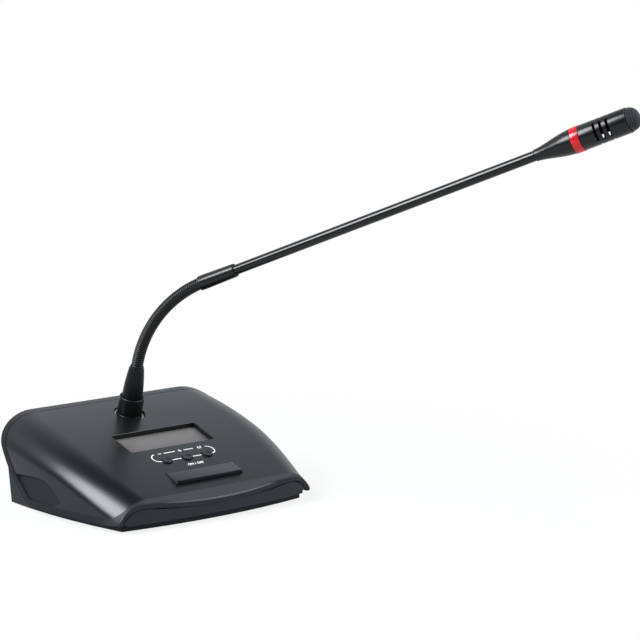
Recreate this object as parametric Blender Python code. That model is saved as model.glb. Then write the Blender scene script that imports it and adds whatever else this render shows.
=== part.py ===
"""Conference delegate unit: a wedge-shaped desk base with a plug-in gooseneck microphone.

Metres, +Z up. The unit faces -Y. The origin is on the table under the middle of the base.
"""
import math

import bmesh
import bpy
import numpy as np
from mathutils import Matrix, Vector

for old in list(bpy.data.objects):
    bpy.data.objects.remove(old, do_unlink=True)

# General clearances and mesh fineness
FIT_GAP = 0.0003
CUT_OVERRUN = 0.004
ROUND_SIDES = 24
FINE_SIDES = 32

# Base case
FOOT_PROUD = 0.001
CASE_FLOOR = 0.0025
CASE_WALL = 0.0025
CASE_INSET = 0.0069
FRONT_OVERHANG = 0.006
REAR_OVERHANG = 0.0109
CASE_FRONT_BOW = 0.0074
CASE_RIM_HEIGHT = 0.0045
REAR_WALL_LEAN = math.radians(9.5)

# Top cover: crown line, plan and shoulders
COVER_WALL = 0.0028
COVER_HALF_WIDTH = 0.101
SIDE_WIDEST_SETBACK = 0.0299
SIDE_BOW_RADIUS = 0.455
REAR_TOP_Y = 0.0749
REAR_TOP_HEIGHT = 0.0659
TOP_RADIUS = 0.62
CREASE_Y = -0.0689
CREASE_HEIGHT = 0.0223
FRONT_BOW = 0.0065
LIP_DROP = 0.004
CORNER_SETBACK = 0.005
SHOULDER_RUN_REAR = 0.032
SHOULDER_RUN_FRONT = 0.022
SHOULDER_DROP_REAR = 0.0222
SHOULDER_DROP_FRONT = 0.0135
COVER_EDGE_HEIGHT = 0.0045
TIP_RISE = 0.002
TIP_RISE_LENGTH = 0.02
REAR_EDGE_RUN = 0.0459
# The slanted rear edge seen from the side: shares of its run and of its height
REAR_EDGE_SHARES = ((0.0, 0.0), (0.67, 0.33), (0.83, 0.64), (1.0, 1.0))
FLAT_SHARE = 0.46
SHOULDER_SHARE = 0.86

# Display
LCD_FROM_CREASE = 0.0681
LCD_OPENING_WIDTH = 0.0762
LCD_OPENING_LENGTH = 0.0276
LCD_DEPTH = 0.0042
LCD_FRAME_WALL = 0.0018
WINDOW_MARGIN = 0.0013
WINDOW_THICKNESS = 0.0012
LCD_MODULE_THICKNESS = 0.0045
LCD_MODULE_MARGIN = 0.003

# Control panel: three buttons and the wide key
PANEL_FROM_CREASE = 0.0279
BUTTON_ROW = 0.0106
BUTTON_PITCH = 0.0183
BUTTON_RADIUS = 0.0038
BUTTON_HOLE_RADIUS = 0.0042
BUTTON_PROUD = 0.0011
BUTTON_DISH = 0.0007
BUTTON_FLANGE_RADIUS = 0.0052
BUTTON_FLANGE = 0.001
BUTTON_TRAVEL = 0.0006
KEY_ROW = -0.0123
KEY_WIDTH = 0.0596
KEY_LENGTH = 0.0145
KEY_GAP = 0.0006
KEY_REAR_PROUD = 0.0004
KEY_FRONT_PROUD = 0.0029
KEY_DEPTH = 0.0022
KEY_PIN_RADIUS = 0.001
KEY_PIN_INSET = 0.0022
KEY_PIN_DEPTH = 0.005
KEY_LUG_WIDTH = 0.003
KEY_LUG_RADIUS = 0.0024
KEY_LUG_X = 0.025
KEY_BRACKET_WIDTH = 0.0026
KEY_BRACKET_X = 0.0327
KEY_PRESS = math.radians(4.5)
SWITCH_SIDE = 0.006
SWITCH_HEIGHT = 0.0035
PLUNGER_RADIUS = 0.0016
BOARD_THICKNESS = 0.0016
KEY_BOARD_DEPTH = 0.0098
KEY_BOARD_WIDTH = 0.078
KEY_BOARD_REAR = 0.018
KEY_BOARD_FRONT = -0.02
BOARD_POST_RADIUS = 0.002
BOARD_POST_REAR_INSET = 0.008
BOARD_POST_FRONT_INSET = 0.0022

# Case screws, feet and ballast
BOSS_HEIGHT = 0.0045
BOSS_RADIUS = 0.0042
POST_RADIUS = 0.0038
SCREW_RADIUS = 0.0012
SCREW_HOLE_RADIUS = 0.0016
SCREW_HEAD_RADIUS = 0.003
SCREW_HEAD = 0.0014
SCREW_REACH = 0.009
SCREW_SIDE_MARGIN = 0.019
FRONT_SCREW_MARGIN = 0.0209
REAR_SCREW_MARGIN = 0.018
FOOT_RADIUS = 0.006
FOOT_THICKNESS = 0.002
FOOT_SIDE_MARGIN = 0.0122
FOOT_END_MARGIN = 0.0087
BALLAST_SIDE_MARGIN = 0.009
BALLAST_LENGTH = 0.054
BALLAST_MARGIN = 0.0099
BALLAST_THICKNESS = 0.004

# Battery bay and main board
BAY_LENGTH = 0.07
BAY_WIDTH = 0.0384
BAY_REAR_MARGIN = 0.0158
BAY_LEDGE = 0.002
BAY_WALL = 0.0015
DOOR_THICKNESS = 0.0012
CELL_RADIUS = 0.0091
CELL_LENGTH = 0.065
CONTACT_THICKNESS = 0.0006
CONTACT_HEIGHT = 0.013
BOARD_CLEARANCE = 0.003
BOARD_WIDTH = 0.118
BOARD_LENGTH = 0.046
BOARD_REAR_MARGIN = 0.03
PILLAR_RADIUS = 0.003
PILLAR_INSET = 0.0045
RADIO_LENGTH = 0.026
RADIO_WIDTH = 0.02
RADIO_HEIGHT = 0.0035
RADIO_END_INSET = 0.021
RADIO_REAR_INSET = 0.012
ANTENNA_LENGTH = 0.034
ANTENNA_WIDTH = 0.0012
ANTENNA_HEIGHT = 0.007
ANTENNA_END_INSET = 0.008
ANTENNA_REAR_INSET = 0.006

# Microphone socket and plug, measured along the socket's axis from the cover's surface
MIC_SETBACK = 0.0319
MIC_LEAN = math.radians(16.3)
MIC_HOLE_RADIUS = 0.0121
SOCKET_RADIUS = 0.0116
SOCKET_BORE = 0.0099
SOCKET_TOP = -0.0011
SOCKET_BOTTOM = -0.025
SOCKET_FLANGE_RADIUS = 0.015
SOCKET_FLANGE = 0.0016
INSERT_RADIUS = 0.0077
INSERT_TOP = -0.0042
COLLAR_RADIUS = 0.0095
COLLAR_BORE = 0.0084
COLLAR_TOP = 0.0138
COLLAR_BOTTOM = -0.015
PIN_RADIUS = 0.00115
PIN_BORE = 0.00145
PIN_RING = 0.0048
PIN_LENGTH = 0.0105
PLUG_INSERT_BOTTOM = -0.002
PLUG_INSERT_THICKNESS = 0.007

# Boot at the neck's foot: shares of its height against its radius
BOOT_FOOT = 0.0085
BOOT_TOP = 0.0395
BOOT_RADIUS = 0.00785
BOOT_SHARES = ((0.0, 1.0), (0.18, 1.0), (0.6, 0.84), (0.85, 0.71), (1.0, 0.64))
BOOT_WALL = 0.0016

# Gooseneck: a ribbed hose in links that bend about parallel hinges
NECK_TURN = math.radians(34.4)
NECK_BEND = math.radians(53.9)
HINGE_COUNT = 6
HINGE_FIRST = 0.0084
HINGE_PITCH = 0.0158
HINGE_LAST = 0.0031
NECK_CREST = 0.0044
NECK_VALLEY = 0.0039
NECK_BORE = 0.0024
NECK_GAP = 0.0009
NECK_SOCKET = 0.006
NECK_SIDES = 8
RIBS_PER_LINK = 8

# Arm: ferrule, tube and head, measured along the arm from the neck's end
FERRULE_LENGTH = 0.0312
FERRULE_RADIUS = 0.0052
FERRULE_TIP_RADIUS = 0.0047
FERRULE_BORE = 0.002
TUBE_RADIUS = 0.0038
TUBE_WALL = 0.0006
TUBE_INSERTION = 0.012
HEAD_START = 0.2775
CONE_LENGTH = 0.0297
CONE_RADIUS = 0.00435
CONE_GRIP = 0.004
HEAD_RADIUS = 0.0091
HEAD_WALL = 0.0012
# Outline of the flared cone: shares of its length against shares of its growth in radius
CONE_SHARES = ((0.0, 0.0), (0.07, 0.02), (0.25, 0.2), (0.5, 0.53), (0.75, 0.83), (1.0, 1.0))
RING_LENGTH = 0.0067
RING_RADIUS = 0.0094
RING_WALL = 0.0016
SPIGOT_RADIUS = 0.0073
SPIGOT_WALL = 0.0007
SPIGOT_REACH = 0.002
BODY_LENGTH = 0.0355
SLOT_START = 0.0108
SLOT_PITCH = 0.0049
SLOT_WIDTH = 0.0019
SLOT_ARC = math.radians(100)
SLOT_ROWS = 3
SLOT_GROUPS = 3
SLOT_ANGLE = math.radians(-62)
SCREEN_HEIGHT = 0.0077
SCREEN_WALL = 0.001
SCREEN_RADIUS = 0.0089
CAPSULE_RADIUS = 0.0048
CAPSULE_LENGTH = 0.0067
HOLDER_LENGTH = 0.008
HOLDER_SETBACK = 0.0105
LED_BOARD_RADIUS = 0.0063
LED_BOARD_BORE = 0.003
LED_BOARD_THICKNESS = 0.001

CASE_BOTTOM_Z = FOOT_PROUD
FLOOR_TOP_Z = CASE_BOTTOM_Z + CASE_FLOOR
REAR_TOP_Z = CASE_BOTTOM_Z + REAR_TOP_HEIGHT
CREASE_Z = CASE_BOTTOM_Z + CREASE_HEIGHT
COVER_EDGE_Z = CASE_BOTTOM_Z + COVER_EDGE_HEIGHT
CASE_FRONT_Y = CREASE_Y + FRONT_OVERHANG
REAR_WALL_Y = REAR_TOP_Y - REAR_OVERHANG
REAR_FOOT_Y = REAR_TOP_Y - REAR_EDGE_RUN
SIDE_WIDEST_Y = REAR_TOP_Y - SIDE_WIDEST_SETBACK
MIC_Y = REAR_TOP_Y - MIC_SETBACK
LCD_Y = CREASE_Y + LCD_FROM_CREASE
PANEL_Y = CREASE_Y + PANEL_FROM_CREASE
BAY_Y = REAR_WALL_Y - BAY_REAR_MARGIN - BAY_WIDTH / 2
BOARD_REAR = REAR_WALL_Y - BOARD_REAR_MARGIN
BOARD_FRONT = BOARD_REAR - BOARD_LENGTH
BALLAST_FRONT = CASE_FRONT_Y + BALLAST_MARGIN
BALLAST_HALF_WIDTH = BOARD_WIDTH / 2 - BALLAST_SIDE_MARGIN
CELL_Z = CASE_BOTTOM_Z + DOOR_THICKNESS + FIT_GAP + CELL_RADIUS
BAY_ROOF_Z = CELL_Z + CELL_RADIUS + FIT_GAP
BOARD_Z = BAY_ROOF_Z + BAY_WALL + BOARD_CLEARANCE
# The crown line is one arc through the crease and the rear edge
CROWN_CHORD = math.hypot(REAR_TOP_Y - CREASE_Y, REAR_TOP_Z - CREASE_Z)
CROWN_LEAN = math.atan2(REAR_TOP_Z - CREASE_Z, REAR_TOP_Y - CREASE_Y)
REAR_SLOPE = CROWN_LEAN - math.asin(CROWN_CHORD / 2 / TOP_RADIUS)


# Materials

def material(name, colour, roughness, metallic=0.0):
    """One Principled material with the part's own colour."""
    made = bpy.data.materials.new(name)
    made.use_nodes = True
    shader = made.node_tree.nodes["Principled BSDF"]
    shader.inputs["Base Color"].default_value = (*colour, 1.0)
    shader.inputs["Roughness"].default_value = roughness
    shader.inputs["Metallic"].default_value = metallic
    return made


COVER_ABS = material("cover_abs", (0.078, 0.088, 0.098), 0.42)
CASE_ABS = material("case_abs", (0.05, 0.056, 0.062), 0.5)
FASCIA_ABS = material("fascia_abs", (0.034, 0.038, 0.043), 0.45)
KEY_ABS = material("key_abs", (0.06, 0.067, 0.075), 0.4)
FOOT_RUBBER = material("foot_rubber", (0.012, 0.012, 0.012), 0.9)
BOOT_RUBBER = material("boot_rubber", (0.014, 0.014, 0.016), 0.45)
NECK_STEEL = material("neck_black_steel", (0.012, 0.012, 0.014), 0.4, 0.6)
TUBE_PAINT = material("tube_black_paint", (0.01, 0.01, 0.012), 0.22, 0.0)
HEAD_PAINT = material("head_black_paint", (0.02, 0.022, 0.025), 0.4, 0.0)
RING_LENS = material("ring_red_lens", (0.72, 0.02, 0.04), 0.3)
SCREEN_MESH = material("windscreen_mesh", (0.03, 0.03, 0.032), 0.75)
NICKEL = material("nickel_plate", (0.6, 0.58, 0.55), 0.25, 1.0)
STEEL = material("zinc_steel", (0.45, 0.46, 0.48), 0.4, 1.0)
WINDOW_ACRYLIC = material("window_acrylic", (0.22, 0.2, 0.19), 0.12)
LCD_GLASS = material("lcd_glass", (0.25, 0.24, 0.22), 0.3)
BOARD_GREEN = material("board_green", (0.02, 0.11, 0.05), 0.5)
SWITCH_PLASTIC = material("switch_plastic", (0.02, 0.02, 0.02), 0.5)
CELL_WRAP = material("cell_wrap", (0.05, 0.12, 0.35), 0.35)
CAPSULE_CAN = material("capsule_can", (0.5, 0.5, 0.5), 0.3, 1.0)


# Shape helpers

def finish_mesh(name, build):
    """Close a bmesh with its faces pointing outwards and return it as a mesh."""
    bmesh.ops.remove_doubles(build, verts=build.verts, dist=FIT_GAP / 100)
    bmesh.ops.recalc_face_normals(build, faces=build.faces)
    mesh = bpy.data.meshes.new(name)
    build.to_mesh(mesh)
    build.free()
    return mesh


def add_object(name, mesh, finish, frame=None, parent=None):
    """Make the named object, put it at its frame and hang it on its axis empty."""
    thing = bpy.data.objects.new(name, mesh)
    bpy.context.collection.objects.link(thing)
    if finish is not None:
        mesh.materials.append(finish)
    place(thing, frame if frame is not None else Matrix(), parent)
    return thing


WORLD_OF = {}


def place(thing, frame, parent=None):
    """Set an object's world frame, under its parent if it has one."""
    WORLD_OF[thing.name] = frame.copy()
    if parent is None:
        thing.matrix_basis = frame
        return
    thing.parent = parent
    thing.matrix_parent_inverse = Matrix()
    thing.matrix_basis = WORLD_OF[parent.name].inverted() @ frame


def add_axis(name, frame, parent=None):
    """An empty on a joint's axis: its local Z is the axis unless the joint says otherwise."""
    empty = bpy.data.objects.new(name, None)
    bpy.context.collection.objects.link(empty)
    place(empty, frame, parent)
    return empty


def shade_round(thing, angle=math.radians(35)):
    """Smooth shading that keeps real edges sharp."""
    thing.data.shade_smooth()
    thing.data.set_sharp_from_angle(angle=angle)


def combine(target, tool, operation):
    """Boolean with a hidden helper solid."""
    step = target.modifiers.new(operation.title() + "_" + tool.name, "BOOLEAN")
    step.operation = operation
    step.solver = "EXACT"
    step.object = tool
    tool.hide_render = True
    tool.display_type = "WIRE"


def cut(target, tool):
    combine(target, tool, "DIFFERENCE")


def join(target, tool):
    combine(target, tool, "UNION")


def loft_mesh(name, rings, closed_path=False):
    """Skin a list of equal closed rings of points; the ends are capped unless the path closes."""
    build = bmesh.new()
    rows = [[build.verts.new(point) for point in ring] for ring in rings]
    pairs = list(zip(rows, rows[1:] + rows[:1])) if closed_path else list(zip(rows, rows[1:]))
    for low, high in pairs:
        for i in range(len(low)):
            j = (i + 1) % len(low)
            build.faces.new((low[i], low[j], high[j], high[i]))
    if not closed_path:
        build.faces.new(rows[0])
        build.faces.new(rows[-1])
    return finish_mesh(name, build)


def turned_mesh(name, outline, sides=ROUND_SIDES):
    """Turn a closed outline of (radius, height) points about Z; radius 0 gives a pole."""
    build = bmesh.new()
    columns = []
    for radius, height in outline:
        if radius == 0:
            columns.append([build.verts.new((0, 0, height))] * sides)
            continue
        angles = [2 * math.pi * k / sides for k in range(sides)]
        columns.append([build.verts.new((radius * math.cos(a), radius * math.sin(a), height))
                        for a in angles])
    for low, high in zip(columns, columns[1:] + columns[:1]):
        for i in range(sides):
            j = (i + 1) % sides
            corners = []
            for vert in (low[i], low[j], high[j], high[i]):
                if vert not in corners:
                    corners.append(vert)
            if len(corners) > 2:
                build.faces.new(corners)
    return finish_mesh(name, build)


def cylinder_mesh(name, radius, low, high, sides=ROUND_SIDES):
    """A plain round bar along Z from low to high."""
    return turned_mesh(name, [(0, low), (radius, low), (radius, high), (0, high)], sides)


def block_mesh(name, x_range, y_range, z_range):
    """A block between two corners."""
    (x0, x1), (y0, y1), (z0, z1) = x_range, y_range, z_range
    rings = [[(x0, y0, z), (x1, y0, z), (x1, y1, z), (x0, y1, z)] for z in (z0, z1)]
    return loft_mesh(name, rings)


def helper(name, mesh, frame=None):
    """A hidden solid that only cuts or joins."""
    thing = add_object(name, mesh, None, frame)
    thing.hide_render = True
    thing.display_type = "WIRE"
    return thing


# Surfaces of the cover

def top_slope(y):
    """The crown line is one arc: its slope grows towards the front."""
    return math.asin(math.sin(REAR_SLOPE) + (REAR_TOP_Y - y) / TOP_RADIUS)


def top_z(y):
    return REAR_TOP_Z - TOP_RADIUS * (math.cos(REAR_SLOPE) - math.cos(top_slope(y)))


def side_x(y):
    """Half width in plan: the sides bow outwards and are widest near the rear."""
    return COVER_HALF_WIDTH - (y - SIDE_WIDEST_Y) ** 2 / (2 * SIDE_BOW_RADIUS)


def depth_share(y):
    return (y - CREASE_Y) / (REAR_TOP_Y - CREASE_Y)


def shoulder_run(y):
    return SHOULDER_RUN_FRONT + (SHOULDER_RUN_REAR - SHOULDER_RUN_FRONT) * depth_share(y)


def shoulder_drop(y):
    return SHOULDER_DROP_FRONT + (SHOULDER_DROP_REAR - SHOULDER_DROP_FRONT) * depth_share(y)


def edge_z(y):
    """Lower edge of the cover's side: it lifts a little at the front tip."""
    near_tip = max(0.0, 1 - (y - CREASE_Y) / TIP_RISE_LENGTH)
    return COVER_EDGE_Z + TIP_RISE * near_tip ** 2


def front_y(x):
    """Front edge in plan, bowed forwards."""
    share = min(1.0, abs(x) / side_x(CREASE_Y))
    return CREASE_Y - FRONT_BOW * (1 - share ** 2)


def section_point(share, y, inset):
    """Point of the cross-section at y: flat crown, elliptical shoulder, upright side."""
    half = side_x(y) - inset
    top = top_z(y) - inset / math.cos(top_slope(y))
    run = shoulder_run(y) - inset
    drop = shoulder_drop(y) - inset
    low = edge_z(y)
    if share <= FLAT_SHARE:
        return (half - run) * share / FLAT_SHARE, top
    if share <= SHOULDER_SHARE:
        turn = math.pi / 2 * (share - FLAT_SHARE) / (SHOULDER_SHARE - FLAT_SHARE)
        return half - run * (1 - math.sin(turn)), top - drop * (1 - math.cos(turn))
    side_top = top - drop
    return half, side_top + (low - side_top) * (share - SHOULDER_SHARE) / (1 - SHOULDER_SHARE)


def surface_z(x, y, inset):
    """Height of the inset cover surface over a point, lip included."""
    half = side_x(y) - inset
    run = shoulder_run(y) - inset
    drop = shoulder_drop(y) - inset
    z = top_z(y) - inset / math.cos(top_slope(y))
    over = min(1.0, max(0.0, (abs(x) - half + run) / run))
    z -= drop * (1 - math.sqrt(1 - over ** 2))
    out = min(1.0, max(0.0, (CREASE_Y - y) / FRONT_BOW))
    return z - LIP_DROP * (1 - (x / half) ** 4) * out


def bezier(points, t):
    """Point of the cubic curve through four control points."""
    a, b, c, d = (np.array(point) for point in points)
    return (1 - t) ** 3 * a + 3 * t * (1 - t) ** 2 * b + 3 * t ** 2 * (1 - t) * c + t ** 3 * d


REAR_EDGE = np.array([bezier(REAR_EDGE_SHARES, t) for t in np.linspace(0, 1, 41)])


def rear_edge_y(z):
    """The cover's rear edge slants forwards as it comes down the side."""
    share = (z - COVER_EDGE_Z) / (REAR_TOP_Z - COVER_EDGE_Z)
    run = float(np.interp(share, REAR_EDGE[:, 1], REAR_EDGE[:, 0]))
    return REAR_FOOT_Y + (REAR_TOP_Y - REAR_FOOT_Y) * run


def crease_y(share):
    """The crease runs straight across and turns back where it meets the side strip."""
    out = max(0.0, (share - FLAT_SHARE) / (1 - FLAT_SHARE))
    return CREASE_Y + CORNER_SETBACK * out ** 2 * (3 - 2 * out)


def cover_point(column, row, inset):
    """Cover point: column runs from -1 to 1 across, row from -1 at the lip's edge to 1 behind."""
    share, side = abs(column), (-1 if column < 0 else 1)
    start = crease_y(share)
    if row < 0:
        x, z = section_point(share, start, inset)
        y = start + (front_y(x) - start) * -row
        x, z = section_point(share, y, inset)
        z -= LIP_DROP * (1 - (x / (side_x(y) - inset)) ** 4) * -row
        return side * x, y, z
    y = REAR_TOP_Y
    for _ in range(12):
        y = rear_edge_y(section_point(share, y, 0)[1])
    y = start + (y - start) * row
    x, z = section_point(share, y, inset)
    return side * x, y, z


def surface_frame(y):
    """Frame on the crown line: X across, Y up the slope, Z outwards."""
    tilt = top_slope(y)
    return Matrix.Translation((0, y, top_z(y))) @ Matrix.Rotation(tilt, 4, "X")


# Frames of the main assemblies

LCD_FRAME = surface_frame(LCD_Y)
PANEL_FRAME = surface_frame(PANEL_Y)
MIC_FRAME = Matrix.Translation((0, MIC_Y, top_z(MIC_Y))) @ Matrix.Rotation(MIC_LEAN, 4, "X")


def half_columns():
    flat = np.linspace(0, FLAT_SHARE, 5)
    shoulder = np.linspace(FLAT_SHARE, SHOULDER_SHARE, 7)[1:]
    side = np.linspace(SHOULDER_SHARE, 1, 3)[1:]
    return np.concatenate([flat, shoulder, side])


def make_cover():
    """Arched shell with its lip, openings, display frame, posts and key brackets."""
    half = half_columns()
    columns = np.concatenate([-half[:0:-1], half])
    rows = np.concatenate([np.linspace(-1, 0, 3), np.linspace(0, 1, 10)[1:]])
    build = bmesh.new()
    skins = []
    for inset in (0, COVER_WALL):
        skins.append([[build.verts.new(cover_point(c, r, inset)) for c in columns] for r in rows])
    for skin in skins:
        for low, high in zip(skin, skin[1:]):
            for i in range(len(columns) - 1):
                build.faces.new((low[i], low[i + 1], high[i + 1], high[i]))
    outer, inner = skins
    edges = [(outer[0], inner[0]), (outer[-1], inner[-1])]
    edges += [([row[k] for row in outer], [row[k] for row in inner]) for k in (0, -1)]
    for top_line, low_line in edges:
        for i in range(len(top_line) - 1):
            build.faces.new((top_line[i], top_line[i + 1], low_line[i + 1], low_line[i]))
    cover = add_object("top_cover", finish_mesh("top_cover", build), COVER_ABS)

    join(cover, helper("lcd_frame_block", lcd_block("lcd_frame_block", LCD_FRAME_WALL,
                                                    -LCD_DEPTH + FIT_GAP, -COVER_WALL / 2), LCD_FRAME))
    cut(cover, helper("lcd_opening", lcd_block("lcd_opening", 0, -LCD_DEPTH - CUT_OVERRUN,
                                               CUT_OVERRUN), LCD_FRAME))
    cut(cover, helper("mic_hole", cylinder_mesh("mic_hole", MIC_HOLE_RADIUS, -COVER_WALL - CUT_OVERRUN,
                                                CUT_OVERRUN, FINE_SIDES), MIC_FRAME))
    for k in (-1, 0, 1):
        name = "button_hole_%d" % (k + 2)
        hole = cylinder_mesh(name, BUTTON_HOLE_RADIUS, -COVER_WALL - CUT_OVERRUN, CUT_OVERRUN)
        spot = PANEL_FRAME @ Matrix.Translation((k * BUTTON_PITCH, BUTTON_ROW, 0))
        cut(cover, helper(name, hole, spot))
    reach = KEY_LENGTH / 2 + KEY_GAP
    width = KEY_WIDTH / 2 + KEY_GAP
    cut(cover, helper("key_opening", block_mesh("key_opening", (-width, width),
                                                (KEY_ROW - reach, KEY_ROW + reach),
                                                (-COVER_WALL - CUT_OVERRUN, CUT_OVERRUN)), PANEL_FRAME))
    for number, (x, y) in enumerate(screw_places(), 1):
        join(cover, cover_post("cover_post_%d" % number, x, y, POST_RADIUS))
        bore = cylinder_mesh("post_bore_%d" % number, SCREW_HOLE_RADIUS,
                             FLOOR_TOP_Z, FLOOR_TOP_Z + BOSS_HEIGHT + SCREW_REACH + CUT_OVERRUN, 12)
        cut(cover, helper("post_bore_%d" % number, bore, Matrix.Translation((x, y, 0))))
    for number, (x, y) in enumerate(board_posts(), 1):
        post = cylinder_mesh("board_post_%d" % number, BOARD_POST_RADIUS,
                             -KEY_BOARD_DEPTH + FIT_GAP, -COVER_WALL / 2, 12)
        join(cover, helper("board_post_%d" % number, post,
                           PANEL_FRAME @ Matrix.Translation((x, y, 0))))
    pin_y = key_pin_row()
    for side in (-1, 1):
        name = "key_bracket_%s" % ("left" if side < 0 else "right")
        x = side * KEY_BRACKET_X
        arm = block_mesh(name, (x - KEY_BRACKET_WIDTH / 2, x + KEY_BRACKET_WIDTH / 2),
                         (pin_y - KEY_LUG_RADIUS, pin_y + KEY_LUG_RADIUS),
                         (-KEY_PIN_DEPTH - KEY_LUG_RADIUS, -COVER_WALL / 2))
        join(cover, helper(name, arm, PANEL_FRAME))
        bore = cross_bar("bracket_bore_" + name, KEY_PIN_RADIUS + FIT_GAP,
                         x - KEY_BRACKET_WIDTH, x + KEY_BRACKET_WIDTH)
        cut(cover, helper("bracket_bore_" + name, bore, pin_frame()))
    shade_round(cover)
    return cover


def lcd_block(name, margin, low, high):
    width = LCD_OPENING_WIDTH / 2 + margin
    length = LCD_OPENING_LENGTH / 2 + margin
    return block_mesh(name, (-width, width), (-length, length), (low, high))


def corner_places(front_y, rear_y, margin):
    """Four places, each at the margin inside the case's bowed side."""
    return [(side * (side_x(y) - CASE_INSET - margin), y) for y in (front_y, rear_y) for side in (-1, 1)]


def screw_places():
    return corner_places(CASE_FRONT_Y + FRONT_SCREW_MARGIN, REAR_WALL_Y - REAR_SCREW_MARGIN,
                         SCREW_SIDE_MARGIN)


def board_posts():
    rear = BUTTON_ROW + BUTTON_HOLE_RADIUS
    front = KEY_ROW - BOARD_POST_RADIUS * 2
    rear_x = KEY_BOARD_WIDTH / 2 - BOARD_POST_REAR_INSET
    front_x = KEY_BOARD_WIDTH / 2 - BOARD_POST_FRONT_INSET
    return [(-rear_x, rear), (rear_x, rear), (-front_x, front), (front_x, front)]


def key_pin_row():
    return KEY_ROW + KEY_LENGTH / 2 - KEY_PIN_INSET


def pin_frame():
    """Frame of the key's hinge pin: X is the axis."""
    return PANEL_FRAME @ Matrix.Translation((0, key_pin_row(), -KEY_PIN_DEPTH))


def cross_bar(name, radius, low, high, sides=12):
    """A round bar along X."""
    rings = []
    for x in (low, high):
        angles = [2 * math.pi * k / sides for k in range(sides)]
        rings.append([(x, radius * math.cos(a), radius * math.sin(a)) for a in angles])
    return loft_mesh(name, rings)


def cover_post(name, x, y, radius):
    """Screw post: from above the case boss up into the middle of the cover's wall."""
    low = FLOOR_TOP_Z + BOSS_HEIGHT + FIT_GAP
    sides = 12
    ring = [(x + radius * math.cos(2 * math.pi * k / sides),
             y + radius * math.sin(2 * math.pi * k / sides)) for k in range(sides)]
    rings = [[(px, py, low) for px, py in ring],
             [(px, py, surface_z(px, py, COVER_WALL / 2)) for px, py in ring]]
    return helper(name, loft_mesh(name, rings))


# Base case

def case_outline(inset, z):
    """Plan outline of the case at a height: bowed front, bowed sides, leaning rear wall."""
    rear = REAR_WALL_Y + (z - CASE_BOTTOM_Z) * math.tan(REAR_WALL_LEAN) - inset
    front = CASE_FRONT_Y + inset
    corner = side_x(CASE_FRONT_Y) - CASE_INSET - inset
    points = []
    for share in np.linspace(-1, 1, 9):
        points.append((corner * share, front - CASE_FRONT_BOW * (1 - share ** 2), z))
    for share in np.linspace(0, 1, 6)[1:]:
        y = front + (rear - front) * share
        points.append((side_x(y) - CASE_INSET - inset, y, z))
    for share in np.linspace(1, 0, 6)[:-1]:
        y = front + (rear - front) * share
        points.append((-side_x(y) + CASE_INSET + inset, y, z))
    return points


def under_cover_mesh(name, inset):
    """The space under the inset cover surface, drawn on past both ends."""
    shares = half_columns()
    stations = np.linspace(CREASE_Y - CASE_FRONT_BOW * 2, REAR_TOP_Y + CASE_FRONT_BOW * 2, 14)
    low = -CASE_FRONT_BOW
    rings = []
    for y in stations:
        right = []
        for share in shares[:-2]:
            x, _ = section_point(share, y, inset)
            right.append((x, y, surface_z(x, y, inset)))
        half = side_x(y) - inset
        right.append((half, y, low))
        left = [(-x, y, z) for x, y, z in right[:0:-1]]
        rings.append(left + right)
    return loft_mesh(name, rings)


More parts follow.
